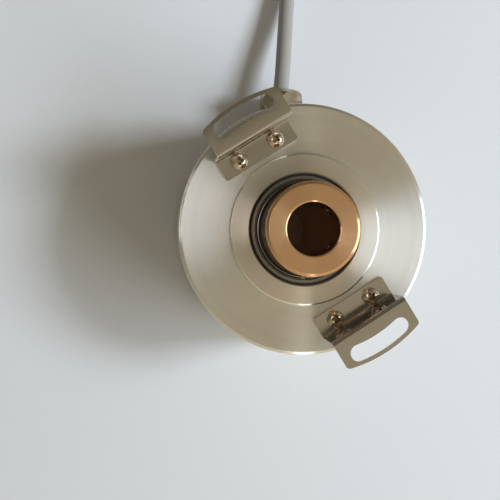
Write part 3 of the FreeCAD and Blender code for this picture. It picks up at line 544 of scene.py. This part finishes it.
def all_finishes():
    """A finish for each material slot of the record, and for turned sides and the bearing's shield."""
    return {
        "machined_aluminium": finish(
            "turned_aluminium", (0.94, 0.93, 0.91), (0.86, 0.85, 0.83), (0.38, 0.42), metallic=1.0,
            lines=2.4, relief=0.05, lathe_sheen=1.0,
        ),
        "aluminium_side": finish(
            "turned_aluminium_side", (0.90, 0.89, 0.87), (0.82, 0.81, 0.79), (0.12, 0.17), metallic=1.0,
            lines=1.6, relief=0.03, lathe_sheen=0.3,
        ),
        "bronze": finish(
            "turned_bronze", (0.86, 0.55, 0.34), (0.76, 0.47, 0.28), (0.22, 0.29), metallic=1.0,
            lines=1.2, relief=0.03, lathe_sheen=0.8,
        ),
        "bronze_side": finish(
            "turned_bronze_side", (0.84, 0.53, 0.32), (0.74, 0.45, 0.26), (0.10, 0.15), metallic=1.0,
            lines=1.0, relief=0.02, lathe_sheen=0.3,
        ),
        "bearing_steel": finish(
            "ground_bearing_steel", (0.42, 0.42, 0.42), (0.34, 0.34, 0.35), (0.16, 0.24), metallic=1.0,
            lines=0.15, relief=0.03,
        ),
        "shield_steel": finish(
            "pressed_shield_steel", (0.31, 0.30, 0.28), (0.23, 0.22, 0.205), (0.22, 0.30), metallic=1.0,
            lines=0.3, relief=0.04,
        ),
        "cage_steel": finish(
            "pressed_cage_steel", (0.60, 0.58, 0.55), (0.50, 0.48, 0.45), (0.28, 0.40), metallic=1.0,
            grain=0.3,
        ),
        "spring_steel": finish(
            "blued_spring_steel", (0.040, 0.038, 0.036), (0.026, 0.025, 0.024), (0.34, 0.46), metallic=1.0,
            grain=0.3,
        ),
        "bracket_nickel": finish(
            "bracket_nickel_plate", (0.56, 0.53, 0.49), (0.49, 0.46, 0.42), (0.14, 0.20), metallic=1.0,
            grain=0.8, stretch=(0.1, 1.0, 1.0), marks=9.0, relief=0.001,
        ),
        "screw_nickel": finish(
            "screw_nickel_plate", (0.74, 0.64, 0.53), (0.60, 0.51, 0.41), (0.08, 0.16), metallic=1.0,
            grain=0.3, marks=2.5, relief=0.04,
        ),
        "black_oxide": finish(
            "black_oxide_steel", (0.035, 0.035, 0.038), (0.020, 0.020, 0.022), (0.46, 0.58), metallic=0.3,
            grain=0.25,
        ),
        "gland_nickel": finish(
            "gland_nickel_brass", (0.58, 0.52, 0.44), (0.48, 0.42, 0.35), (0.18, 0.28), metallic=1.0,
            grain=0.4, marks=6.0, relief=0.04,
        ),
        "seal_rubber": finish(
            "black_seal_rubber", (0.022, 0.022, 0.022), (0.014, 0.014, 0.014), (0.62, 0.76), grain=0.5,
            Specular_IOR_Level=0.2,
        ),
        "cable_jacket": finish(
            "grey_cable_jacket", (0.42, 0.41, 0.39), (0.36, 0.35, 0.33), (0.46, 0.58), grain=0.6, marks=16.0,
        ),
        "tie_plastic": finish(
            "black_tie_strap", (0.035, 0.035, 0.037), (0.020, 0.020, 0.022), (0.50, 0.64),
            grain=0.5, relief=0.4,
        ),
        "lead_plastic": finish(
            "grey_lead_sleeve", (0.42, 0.42, 0.42), (0.36, 0.36, 0.36), (0.40, 0.50), grain=0.4,
        ),
        "board_green": finish(
            "green_solder_mask", (0.020, 0.135, 0.060), (0.012, 0.090, 0.042), (0.28, 0.40), grain=0.35,
        ),
        "chip_black": finish(
            "moulded_chip_black", (0.035, 0.035, 0.036), (0.022, 0.022, 0.023), (0.55, 0.68),
            grain=0.12, relief=0.25,
        ),
        "connector_white": finish(
            "ivory_connector_plastic", (0.78, 0.75, 0.66), (0.70, 0.67, 0.58), (0.42, 0.52), grain=0.4,
        ),
        "holder_plastic": finish(
            "black_holder_plastic", (0.040, 0.040, 0.042), (0.026, 0.026, 0.028), (0.44, 0.56),
            grain=0.2, relief=0.2,
        ),
        "lamp_clear": finish(
            "clear_lamp_resin", (0.90, 0.92, 0.94), (0.86, 0.88, 0.91), (0.04, 0.10), grain=0.8, relief=0.02,
            Transmission_Weight=0.9, IOR=1.5,
        ),
        "disc_glass": finish(
            "code_disc_glass", (0.80, 0.84, 0.82), (0.76, 0.80, 0.78), (0.03, 0.08), grain=0.8, relief=0.01,
            Transmission_Weight=0.7, IOR=1.5,
        ),
        "can_aluminium": finish(
            "capacitor_can_aluminium", (0.80, 0.80, 0.80), (0.72, 0.72, 0.72), (0.24, 0.34), metallic=1.0,
            grain=0.3,
        ),
        "wire_tin": finish(
            "tinned_wire", (0.74, 0.73, 0.70), (0.64, 0.63, 0.60), (0.22, 0.34), metallic=1.0, grain=0.3,
        ),
    }


# The body, the shaft and their turned pieces
body_r = 40.0
face_z = 45.0
joint_z = 36.0
joint_edge = 0.25
joint_ease = (0.06, 0.05)
boss_r = 24.2
boss_top = 46.0
lip_r = 18.0
seat_z = 45.2
collar_r = 14.5
shaft_top = 59.5
shaft_rear = 0.6
bore_r = 8.0
clip_groove_r = 13.89
clip_groove_top = 46.01
clip_fit = 0.01


def front_flange(finishes):
    """The front plate: raised boss, bevelled rim, cover spigot and bearing seats."""
    lip_edge = 0.15
    lip_ease = 0.04
    boss_bevel = (0.6, 0.20)
    boss_ease = (0.06, 0.08)
    foot_ease = 0.1
    rim_bevel = (1.0, 0.30)
    rim_ease = (0.08, 0.12)
    edge = 0.1
    spigot_r = 37.95
    spigot_end = 31.0
    groove_r = 36.65
    groove_low = 32.55
    groove_high = 34.45
    inner_r = 35.55
    web_z = 37.0
    hub_r = 22.5
    hub_end = 29.9
    seat_r = 18.51
    ring_r = 19.35
    ring_low = 31.39
    ring_high = 32.41
    mesh = turned("turned_flange", [
        (lip_r, seat_z, 0), (lip_r, boss_top - lip_edge, lip_ease), (lip_r + lip_edge, boss_top, lip_ease),
        (boss_r - boss_bevel[0], boss_top, boss_ease[0]),
        (boss_r - edge, boss_top - boss_bevel[1], boss_ease[1]),
        (boss_r, boss_top - boss_bevel[1] - edge, boss_ease[1]), (boss_r, face_z, foot_ease),
        (body_r - rim_bevel[0], face_z, rim_ease[0]), (body_r - edge, face_z - rim_bevel[1], rim_ease[1]),
        (body_r, face_z - rim_bevel[1] - edge * 2, rim_ease[1]),
        (body_r, joint_z + joint_edge, joint_ease[0]), (body_r - joint_edge, joint_z, joint_ease[1]),
        (spigot_r, joint_z, 0), (spigot_r, groove_high, 0), (groove_r, groove_high, 0),
        (groove_r, groove_low, 0), (spigot_r, groove_low, 0), (spigot_r, spigot_end, 0),
        (inner_r, spigot_end, 0), (inner_r, web_z, 0), (hub_r, web_z, 0), (hub_r, hub_end, 0),
        (seat_r, hub_end, 0), (seat_r, ring_low, 0), (ring_r, ring_low, 0), (ring_r, ring_high, 0),
        (seat_r, ring_high, 0), (seat_r, seat_z, 0),
    ], segments=256)
    flat = finishes["machined_aluminium"]
    side_finish(mesh, flat, finishes["aluminium_side"])
    piece_of("turned_flange", mesh, "housing", "machined_aluminium", flat, "front_flange")


def rear_cover(finishes):
    """The cup behind the front plate, with the gland's seat and its screws' sinks."""
    shaft_gap = 0.4
    hole_r = collar_r + shaft_gap
    wall_t = 2.0
    inner_r = body_r - wall_t
    floor_t = 2.5
    edge = 0.8
    hole_ease = 0.1
    edge_ease = 0.12
    shell = turned("turned_cover", [
        (hole_r, 0, hole_ease), (body_r - edge, 0, edge_ease), (body_r, edge, edge_ease),
        (body_r, joint_z - joint_edge, joint_ease[0]), (body_r - joint_edge, joint_z, joint_ease[1]),
        (inner_r, joint_z, 0), (inner_r, floor_t, 0), (hole_r, floor_t, 0),
    ], segments=256)
    gland_deg = 61.2
    gland_z = 12.0
    gland_seat = 39.1
    gland_seat_r = 9.0
    gland_hole_r = 6.25
    past = 2.0
    gland = outward(gland_deg, gland_z)
    cutters = [
        rod(gland_seat_r, gland_seat, body_r + past, gland),
        rod(gland_hole_r, inner_r - past * 4, body_r + past, gland),
    ]
    post_r = 32.4
    post_degs = (30, 150, 270)
    screw_head_r = 2.85
    screw_sink = 0.12
    for degrees in post_degs:
        spot = Matrix.Rotation(math.radians(degrees), 4, "Z") @ Matrix.Translation((post_r * MM, 0, 0))
        cutters.append(rod(screw_head_r, -past, screw_sink, spot))
    mesh = carved(shell, cutters)
    flat = finishes["machined_aluminium"]
    side_finish(mesh, flat, finishes["aluminium_side"])
    piece_of("turned_cover", mesh, "housing", "machined_aluminium", flat, "rear_cover")


def hollow_shaft(finishes):
    """The bronze sleeve: bore, bearing seats, clip groove and set-screw holes."""
    edge = 0.15
    front_bevel = (1.0, 0.38)
    front_low = shaft_top - front_bevel[1]
    front_ease = (0.1, 0.06)
    bore_bevel = (0.55, 0.18)
    bore_low = shaft_top - bore_bevel[1]
    bore_ease = (0.06, 0.08)
    rear_edge = 0.5
    rear_ease = 0.08
    bearing_r = 14.99
    rear_seat_z = 33.2
    shoulder_r = 15.9
    shoulder_low = 37.2
    shoulder_high = 41.2
    groove_ease = 0.05
    blank = turned("bronze_sleeve", [
        (bore_r, shaft_rear + rear_edge, rear_ease), (bore_r + rear_edge, shaft_rear, rear_ease),
        (collar_r - rear_edge, shaft_rear, rear_ease), (collar_r, shaft_rear + rear_edge, rear_ease),
        (collar_r, rear_seat_z, 0), (bearing_r, rear_seat_z, 0), (bearing_r, shoulder_low, 0),
        (shoulder_r, shoulder_low, 0), (shoulder_r, shoulder_high, 0), (bearing_r, shoulder_high, 0),
        (bearing_r, seat_z, 0), (clip_groove_r, seat_z, 0), (clip_groove_r, clip_groove_top, 0),
        (collar_r, clip_groove_top, groove_ease),
        (collar_r, front_low - edge * 2, front_ease[0]), (collar_r - edge, front_low, front_ease[0]),
        (collar_r - front_bevel[0], shaft_top, front_ease[1]),
        (bore_r + bore_bevel[0], shaft_top, bore_ease[0]), (bore_r + edge, bore_low, bore_ease[0]),
        (bore_r, bore_low - edge * 2, bore_ease[1]),
    ])
    screw_z = 54.0
    screw_r = 2.05
    screw_degs = (-75, 15)
    past = 1.0
    holes = [rod(screw_r, bore_r / 2, collar_r + past, outward(degrees, screw_z)) for degrees in screw_degs]
    mesh = carved(blank, holes)
    side_finish(mesh, finishes["bronze"], finishes["bronze_side"])
    piece_of("bronze_sleeve", mesh, "rotor", "bronze", finishes["bronze"], "hollow_shaft")


def bearing_lip(finishes):
    """The bare steel rim of the front bearing's shield, with a bead along each edge."""
    inner_r = 16.1
    outer_r = 17.05
    bead_w = 0.2
    bead_foot = 0.3
    seat = 45.05
    flat_z = 45.10
    bead_z = 45.17
    ease = 0.05
    mesh = turned("bearing_lip", [
        (inner_r, seat, 0), (outer_r, seat, 0), (outer_r, bead_z, ease), (outer_r - bead_w, bead_z, ease),
        (outer_r - bead_foot, flat_z, ease), (inner_r + bead_foot, flat_z, ease),
        (inner_r + bead_w, bead_z, ease), (inner_r, bead_z, ease),
    ])
    piece_of("bearing_lip", mesh, "housing", "bearing_steel", finishes["shield_steel"])


def shaft_clip(finishes):
    """The open ring in front of the bearing: blued, with the bevel round its outer edge in lighter steel as a
    painted highlight.
    """
    inner_r = clip_groove_r + clip_fit
    outer_r = 15.7
    low = seat_z + clip_fit
    high = clip_groove_top - clip_fit
    bevel_r = 15.05
    bevel = (0.25, 0.07)
    bevel_ease = 0.03
    bevel_rise = 0.9
    wall_z = 45.45
    wall_ease = 0.05
    gap_deg = (233.5, 238.5)
    past = 1.0
    ring = turned("bevelled_clip", [
        (inner_r, low, 0), (outer_r, low, 0), (outer_r, wall_z, wall_ease),
        (bevel_r + bevel[0], high - bevel[1], bevel_ease), (bevel_r, high, bevel_ease), (inner_r, high, 0),
    ])
    gap = [(0, 0)] + arc((0, 0), outer_r + past, *gap_deg, 4)
    mesh = carved(ring, [prism(gap, low - past, high + past)])
    # The bevel's lighter shield steel is a painted highlight line along the clip's outer edge; the flat stays
    # near black.
    side_finish(mesh, finishes["spring_steel"], finishes["shield_steel"], bevel_rise)
    piece_of("bevelled_clip", mesh, "rotor", "spring_steel", finishes["spring_steel"], "shaft_snap_ring")


# The brackets and their screws
sheet_t = 0.8
bracket_screw_r = 30.0
bracket_screw_degs = (77, 103)


def bracket_sheet():
    """A bracket drawn along Y: sheet folded twice, trimmed to its plan, with its slot and screw holes."""
    bend = 0.5
    side = 13.2
    outer_r = 44.0
    plate_y = 25.7
    wall = 32.5
    top = 57.9
    past = 1.0
    low_turn = (wall - bend, face_z + sheet_t + bend)
    high_turn = (wall + sheet_t + bend, top - sheet_t - bend)
    profile = [(plate_y, face_z)] + arc(low_turn, bend + sheet_t, -90, 0, 12)
    profile += arc(high_turn, bend, 180, 90, 8) + [(outer_r + past, top - sheet_t), (outer_r + past, top)]
    profile += arc(high_turn, bend + sheet_t, 90, 180, 12) + arc(low_turn, bend, 0, -90, 8)
    profile += [(plate_y, face_z + sheet_t)]
    across = Matrix(((0, 0, 1, 0), (1, 0, 0, 0), (0, 1, 0, 0), (0, 0, 0, 1)))
    sheet = prism(profile, -side, side, across)

    corner = 0.7
    trim = (0.2, 0.5)
    end_deg = math.degrees(math.acos((side - corner) / outer_r))
    shoulder = math.sqrt(outer_r ** 2 - side ** 2) - corner
    plan = arc((side - corner, plate_y + corner), corner, -90, 0, 6)
    plan += [(side, shoulder), (side - trim[0], shoulder + trim[1])]
    plan += arc((0, 0), outer_r, end_deg, 180 - end_deg, 96)
    plan += [(trim[0] - side, shoulder + trim[1]), (-side, shoulder)]
    plan += arc((corner - side, plate_y + corner), corner, 180, 270, 6)
    sheet = carved(sheet, [prism(plan, face_z - past, top + past)], "INTERSECT")

    slot_r = 40.3
    slot_half_w = 2.6
    slot_degs = (79, 101)
    screw_hole_r = 1.7
    cutters = [prism(arc_slot(slot_r, slot_half_w, *slot_degs), top - sheet_t - past, top + past)]
    for degrees in bracket_screw_degs:
        x, y = round_spot(bracket_screw_r, degrees)
        spot = Matrix.Translation((x * MM, y * MM, 0))
        cutters.append(rod(screw_hole_r, face_z - past, face_z + past * 2, spot))
    edge = 0.24
    edge_deg = 40.0
    return edged(carved(sheet, cutters), edge, edge_deg)


def brackets(finishes):
    """Two of the same bracket, the lower one turned half round."""
    for name, node, turn in (
        ("folded_upper_bracket", "upper_bracket", 0.0), ("folded_lower_bracket", "lower_bracket", math.pi),
    ):
        mesh = bracket_sheet()
        mesh.transform(Matrix.Rotation(turn, 4, "Z"))
        piece_of(name, mesh, "housing", "bracket_nickel", finishes["bracket_nickel"], node)


def eased_pieces(finishes):
    """CAD pieces whose shape is right, with their edges rounded."""
    pieces = {}
    for name, node, edge, slot in (
        ("gland_hex_body", "gland_body", 0.15, "gland_nickel"),
        ("gland_dome_nut", "gland_nut", 0.15, "gland_nickel"),
        ("gland_flat_washer", "gland_washer", 0.15, "seal_rubber"),
        ("coil_strap", "coil_tie", 0.12, "tie_plastic"),
    ):
        pieces[name] = piece_of(name, eased_copy(node, edge), "housing", slot, finishes[slot], node)
    return pieces


def pan_screw_tree():
    """Pan-head screws on the points of a mesh: a domed head with a tapered cross recess whose walls are
    painted dark as shade, and its shank.
    """
    dome_power = 3.0
    top_from = 0.9
    recess_foot = 0.3
    recess_over = 1.2
    tree = bpy.data.node_groups.new("pan_screws", "GeometryNodeTree")
    tree.is_modifier = True
    tree.interface.new_socket("Seats", in_out="INPUT", socket_type="NodeSocketGeometry")
    for label, value in (
        ("Head Radius", 2.75), ("Head Height", 2.0), ("Dome Drop", 1.2), ("Shank Radius", 1.5),
        ("Shank Length", 5.5), ("Recess Length", 3.4), ("Recess Width", 1.15), ("Recess Depth", 1.1),
    ):
        socket = tree.interface.new_socket(label, in_out="INPUT", socket_type="NodeSocketFloat")
        socket.default_value = value * MM
    tree.interface.new_socket("Finish", in_out="INPUT", socket_type="NodeSocketMaterial")
    tree.interface.new_socket("Recess Painted Shade", in_out="INPUT", socket_type="NodeSocketMaterial")
    tree.interface.new_socket("Screws", in_out="OUTPUT", socket_type="NodeSocketGeometry")
    nodes = tree.nodes
    link = tree.links.new
    given = nodes.new("NodeGroupInput").outputs
    made = nodes.new("NodeGroupOutput")

    def sum_of(first, second):
        return math_node(tree, "ADD", first, second)

    def product(first, second):
        return math_node(tree, "MULTIPLY", first, second)

    def lifted(geometry, height, turn=0.0, narrow=None):
        node = nodes.new("GeometryNodeTransform")
        link(geometry, node.inputs["Geometry"])
        move = nodes.new("ShaderNodeCombineXYZ")
        link(height, move.inputs["Z"])
        link(move.outputs[0], node.inputs["Translation"])
        node.inputs["Rotation"].default_value = (0, 0, turn)
        if narrow is not None:
            stretch = nodes.new("ShaderNodeCombineXYZ")
            stretch.inputs["X"].default_value = 1.0
            stretch.inputs["Z"].default_value = 1.0
            link(narrow, stretch.inputs["Y"])
            link(stretch.outputs[0], node.inputs["Scale"])
        return node.outputs[0]

    def drum(radius, length, rings, around):
        node = nodes.new("GeometryNodeMeshCylinder")
        node.inputs["Vertices"].default_value = around
        node.inputs["Fill Segments"].default_value = rings
        link(radius, node.inputs["Radius"])
        link(length, node.inputs["Depth"])
        return node.outputs["Mesh"]

    # The head is a drum whose top sinks towards its rim.
    drum_head = drum(given["Head Radius"], given["Head Height"], rings=14, around=64)
    head = lifted(drum_head, product(given["Head Height"], 0.5))
    place = nodes.new("GeometryNodeInputPosition")
    parts = nodes.new("ShaderNodeSeparateXYZ")
    link(place.outputs[0], parts.inputs[0])
    squares = sum_of(
        product(parts.outputs["X"], parts.outputs["X"]), product(parts.outputs["Y"], parts.outputs["Y"]),
    )
    share = math_node(tree, "DIVIDE", math_node(tree, "SQRT", squares, 0.0), given["Head Radius"])
    sink = product(product(math_node(tree, "POWER", share, dome_power), given["Dome Drop"]), -1.0)
    on_top = math_node(tree, "GREATER_THAN", parts.outputs["Z"], product(given["Head Height"], top_from))
    offset = nodes.new("ShaderNodeCombineXYZ")
    link(product(sink, on_top), offset.inputs["Z"])
    domed = nodes.new("GeometryNodeSetPosition")
    link(head, domed.inputs["Geometry"])
    link(offset.outputs[0], domed.inputs["Offset"])

    # Two tapered blades make the cross recess; their faces carry the recess's painted shade.
    blade = nodes.new("GeometryNodeMeshCone")
    blade.inputs["Vertices"].default_value = 4
    link(product(given["Recess Length"], math.sqrt(0.5)), blade.inputs["Radius Top"])
    link(product(given["Recess Length"], recess_foot), blade.inputs["Radius Bottom"])
    link(product(given["Recess Depth"], recess_over), blade.inputs["Depth"])
    recess_floor = math_node(tree, "SUBTRACT", given["Head Height"], given["Recess Depth"])
    squared = lifted(blade.outputs["Mesh"], recess_floor, turn=math.pi / 4)
    narrow = math_node(tree, "DIVIDE", given["Recess Width"], given["Recess Length"])
    no_lift = nodes.new("ShaderNodeValue").outputs[0]
    first = lifted(squared, no_lift, narrow=narrow)
    # The blades' material is a painted shade, a dark brown that stands for the shade inside the cross.
    shaded_blades = nodes.new("GeometryNodeSetMaterial")
    link(first, shaded_blades.inputs["Geometry"])
    link(given["Recess Painted Shade"], shaded_blades.inputs["Material"])
    second = lifted(shaded_blades.outputs[0], no_lift, turn=math.pi / 2)
    cross = nodes.new("GeometryNodeMeshBoolean")
    cross.operation = "UNION"
    cross.solver = "EXACT"
    link(shaded_blades.outputs[0], cross.inputs["Mesh 2"])
    link(second, cross.inputs["Mesh 2"])
    recess = nodes.new("GeometryNodeMeshBoolean")
    recess.operation = "DIFFERENCE"
    recess.solver = "EXACT"
    link(domed.outputs[0], recess.inputs["Mesh 1"])
    link(cross.outputs["Mesh"], recess.inputs["Mesh 2"])

    drum_shank = drum(given["Shank Radius"], given["Shank Length"], rings=1, around=32)
    shank = lifted(drum_shank, product(given["Shank Length"], -0.5))
    screw = nodes.new("GeometryNodeJoinGeometry")
    link(recess.outputs["Mesh"], screw.inputs[0])
    link(shank, screw.inputs[0])
    turn = nodes.new("GeometryNodeInputNamedAttribute")
    turn.data_type = "FLOAT"
    turn.inputs["Name"].default_value = "recess_turn"
    spin = nodes.new("ShaderNodeCombineXYZ")
    link(turn.outputs["Attribute"], spin.inputs["Z"])
    spread = nodes.new("GeometryNodeInstanceOnPoints")
    link(given["Seats"], spread.inputs["Points"])
    link(screw.outputs[0], spread.inputs["Instance"])
    link(spin.outputs[0], spread.inputs["Rotation"])
    real = nodes.new("GeometryNodeRealizeInstances")
    link(spread.outputs[0], real.inputs[0])
    dressed = nodes.new("GeometryNodeSetMaterial")
    link(real.outputs[0], dressed.inputs["Geometry"])
    link(given["Finish"], dressed.inputs["Material"])
    inside = nodes.new("GeometryNodeMaterialSelection")
    link(given["Recess Painted Shade"], inside.inputs["Material"])
    outside = nodes.new("FunctionNodeBooleanMath")
    outside.operation = "NOT"
    link(inside.outputs[0], outside.inputs[0])
    link(outside.outputs[0], dressed.inputs["Selection"])
    link(dressed.outputs[0], made.inputs["Screws"])
    return tree


def bracket_screws(finishes):
    """The four screws that hold the brackets."""
    recess_turns = (0.5, 1.1, 0.9, 0.3)
    spots = []
    for half_turn in (0, 180):
        for degrees in bracket_screw_degs:
            x, y = round_spot(bracket_screw_r, degrees + half_turn)
            spots.append((x * MM, y * MM, (face_z + sheet_t) * MM))
    seats = bpy.data.meshes.new("screw_seats")
    seats.from_pydata(spots, [], [])
    seats.attributes.new("recess_turn", "FLOAT", "POINT").data.foreach_set("value", recess_turns)
    source = bpy.data.objects.new("screw_seats", seats)
    scene.collection.objects.link(source)
    tree = pan_screw_tree()
    step = source.modifiers.new("screws", "NODES")
    step.node_group = tree
    sockets = {item.name: item.identifier for item in tree.interface.items_tree if item.in_out == "INPUT"}
    step[sockets["Finish"]] = finishes["screw_nickel"]
    # The recess walls take a painted shade: a dark brown that stands for the shade in the cross.
    step[sockets["Recess Painted Shade"]] = finish(
        "screw_recess_painted_shade", (0.40, 0.29, 0.19), (0.20, 0.145, 0.09), (0.26, 0.40), metallic=0.3,
        grain=0.3, marks=1.0,
    )
    mesh = smooth(plain_mesh(source), sharp_deg=40.0)
    bpy.data.objects.remove(source)
    piece_of("cross_pan_screws", mesh, "housing", "screw_nickel", finishes["screw_nickel"], "bracket_screws")


def lead_sleeves():
    """The colours of the cable's cores."""
    sleeves = []
    for name, light, dark in (
        ("white", (0.80, 0.79, 0.75), (0.70, 0.69, 0.65)), ("red", (0.55, 0.035, 0.025), (0.45, 0.025, 0.02)),
        ("green", (0.03, 0.30, 0.09), (0.02, 0.22, 0.06)), ("yellow", (0.75, 0.52, 0.03), (0.64, 0.43, 0.02)),
        ("black", (0.030, 0.030, 0.032), (0.018, 0.018, 0.020)),
    ):
        sleeves.append(finish("lead_sleeve_" + name, light, dark, (0.38, 0.50), grain=0.4))
    return sleeves


def bared_leads(finishes):
    """Five coloured cores with tinned ends, fanned out where the jacket stops."""
    lead_l = 26.0
    lead_r = 0.6
    root_r = 1.6
    fan_deg = 6.0
    in_jacket = 1.0
    tinned_r = 0.36
    in_sleeve = 0.2
    sleeves = lead_sleeves()
    coats = sleeves + [finishes["wire_tin"]]
    count = len(sleeves)
    start = cable_tail()[-1]
    way = coil_direction(coil_leave_deg)
    side = Vector((-way.y, way.x, 0))
    roots = sorted(round_spot(root_r, 90 + 360 / count * k) for k in range(count))
    work = bmesh.new()
    for k, (across, rise) in enumerate(roots):
        fan = math.tan(math.radians(fan_deg)) * (k - count // 2) * lead_l
        root = start + side * across + Vector((0, 0, rise))
        sleeve = [root - way * in_jacket, root]
        for share, bent in ((0.2, 0.0), (0.5, 0.3), (0.8, 0.7)):
            spot = root + way * (lead_l * share) + side * (fan * bent)
            sleeve.append(Vector((spot.x, spot.y, lead_r if bent else root.z)))
        end = root + way * lead_l + side * fan
        tip = Vector((end.x, end.y, lead_r))
        tinned = [sleeve[-1] - (tip - sleeve[-1]) * in_sleeve, tip]
        for points, radius, coat in ((sleeve, lead_r, k), (tinned, tinned_r, count)):
            wire = round_line("wire", points, radius, roundness=5, material=coats[coat])
            first = len(work.faces)
            work.from_mesh(plain_mesh(wire))
            bpy.data.objects.remove(wire)
            work.faces.ensure_lookup_table()
            for face in work.faces[first:]:
                face.material_index = coat
    mesh = bpy.data.meshes.new("bared_leads")
    work.to_mesh(mesh)
    work.free()
    for coat in coats:
        mesh.materials.append(coat)
    return piece_of("bared_leads", smooth(mesh), "housing", "lead_plastic", sleeves[0], "flying_leads")


def cad_finishes(finishes):
    """The CAD nodes that stay take the finish of their slot."""
    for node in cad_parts.values():
        for slot in node.material_slots:
            name = slot.material.name
            if name in finishes:
                slot.material = finishes[name]


# Floor, window and room. The flag is a dark patch overhead.
lamp_far = 1.5
wall_colour = (0.26, 0.24, 0.20)
ceiling_colour = (0.36, 0.315, 0.22)
ceiling_from = 0.6
window_side_gain = 0.7
near_side_gain = 0.85
dimmest_wall = 0.45
matt_share = 0.68
flag_way = (0.023, 0.281, 0.959)
flag_half_deg = (6.0, 11.0)
flag_dark = 0.88


def studio():
    """The pale table."""
    half = 3.0
    corners = [(-half, -half, 0), (half, -half, 0), (half, half, 0), (-half, half, 0)]
    mesh = bpy.data.meshes.new("studio_floor")
    mesh.from_pydata(corners, [], [(0, 1, 2, 3)])
    mesh.materials.append(finish(
        "pale_table", (0.83, 0.85, 0.89), (0.80, 0.82, 0.86), (0.60, 0.70),
        grain=2.0, marks=60.0, relief=0.02,
    ))
    floor = bpy.data.objects.new("studio_floor", mesh)
    scene.collection.objects.link(floor)


def soft_lamp(name, turn_deg, rise_deg, size, watts, colour):
    """An even rectangular lamp aimed at the part, placed by its bearing in the photograph."""
    lamp = bpy.data.lights.new(name, "AREA")
    lamp.shape = "RECTANGLE"
    lamp.size, lamp.size_y = size
    lamp.energy = watts
    lamp.color = colour
    panel = bpy.data.objects.new(name, lamp)
    scene.collection.objects.link(panel)
    turn = math.radians(turn_deg)
    rise = math.radians(rise_deg)
    toward = Vector((math.cos(rise) * math.cos(turn), math.cos(rise) * math.sin(turn), math.sin(rise)))
    aim = toward.to_track_quat("Z", "Y").to_matrix().to_4x4()
    panel.matrix_world = photo_to_part(Matrix.Translation(toward * lamp_far) @ aim)
    return panel


def lamps():
    """Window light for matt surfaces, and the gleams that metal mirrors: window, ceiling and a near lamp."""
    window_tint = (0.86, 0.93, 1.0)
    for panel in (
        soft_lamp("window_light", 6, 41, (0.32, 0.42), watts=12.9, colour=window_tint),
        soft_lamp("sky_light", -20, 42, (1.05, 0.50), watts=9.4, colour=window_tint),
    ):
        panel.visible_glossy = False
    for gleam in (
        soft_lamp("window_gleam", -6, 41, (0.8, 0.9), watts=4.8, colour=(0.70, 0.86, 1.0)),
        soft_lamp("ceiling_gleam", 164, 66, (0.6, 0.5), watts=1.35, colour=(1.0, 0.92, 0.90)),
        soft_lamp("near_gleam", -76, 48, (0.15, 0.4), watts=0.38, colour=(1.0, 0.97, 0.88)),
    ):
        gleam.visible_diffuse = False


def facing(tree, way, direction):
    """How far a ray's way faces a direction of the photograph's frame."""
    node = tree.nodes.new("ShaderNodeVectorMath")
    node.operation = "DOT_PRODUCT"
    tree.links.new(way, node.inputs[0])
    node.inputs[1].default_value = photo_to_part(Matrix.Translation(direction)).to_translation()
    return node.outputs["Value"]


def room():
    """A room that is darker towards its left, away from the window, and darkest at its walls."""
    world = bpy.data.worlds.new("room")
    scene.world = world
    world.use_nodes = True
    tree = world.node_tree
    way = tree.nodes.new("ShaderNodeTexCoord").outputs["Generated"]
    parts = tree.nodes.new("ShaderNodeSeparateXYZ")
    tree.links.new(way, parts.inputs[0])
    ramp = tree.nodes.new("ShaderNodeValToRGB")
    for element, height, colour in zip(
        ramp.color_ramp.elements, (0.0, ceiling_from), (wall_colour, ceiling_colour),
    ):
        element.position = height
        element.color = (*colour, 1)
    tree.links.new(parts.outputs["Z"], ramp.inputs["Fac"])
    level = 1.0
    for direction, gain in (((1, 0, 0), window_side_gain), ((0, -1, 0), near_side_gain)):
        lean = math_node(tree, "MULTIPLY", facing(tree, way, direction), gain)
        level = math_node(tree, "ADD", lean, level)
    level = math_node(tree, "MAXIMUM", level, dimmest_wall)
    inner_deg, outer_deg = flag_half_deg
    shaded = tree.nodes.new("ShaderNodeMapRange")
    shaded.interpolation_type = "SMOOTHSTEP"
    shaded.inputs["From Min"].default_value = math.cos(math.radians(outer_deg))
    shaded.inputs["From Max"].default_value = math.cos(math.radians(inner_deg))
    shaded.inputs["To Min"].default_value = 1.0
    shaded.inputs["To Max"].default_value = 1.0 - flag_dark
    tree.links.new(facing(tree, way, flag_way), shaded.inputs["Value"])
    level = math_node(tree, "MULTIPLY", level, shaded.outputs["Result"])
    matt = tree.nodes.new("ShaderNodeLightPath").outputs["Is Diffuse Ray"]
    dimmed = math_node(tree, "ADD", math_node(tree, "MULTIPLY", matt, matt_share - 1.0), 1.0)
    tree.links.new(ramp.outputs["Color"], tree.nodes["Background"].inputs["Color"])
    tree.links.new(math_node(tree, "MULTIPLY", level, dimmed), tree.nodes["Background"].inputs["Strength"])


photo_camera()
finishes = all_finishes()
eased = eased_pieces(finishes)
leads = bared_leads(finishes)
signal_cord(finishes["cable_jacket"])
front_flange(finishes)
rear_cover(finishes)
hollow_shaft(finishes)
bearing_lip(finishes)
shaft_clip(finishes)
brackets(finishes)
bracket_screws(finishes)
cad_finishes(finishes)
studio()
lamps()
room()
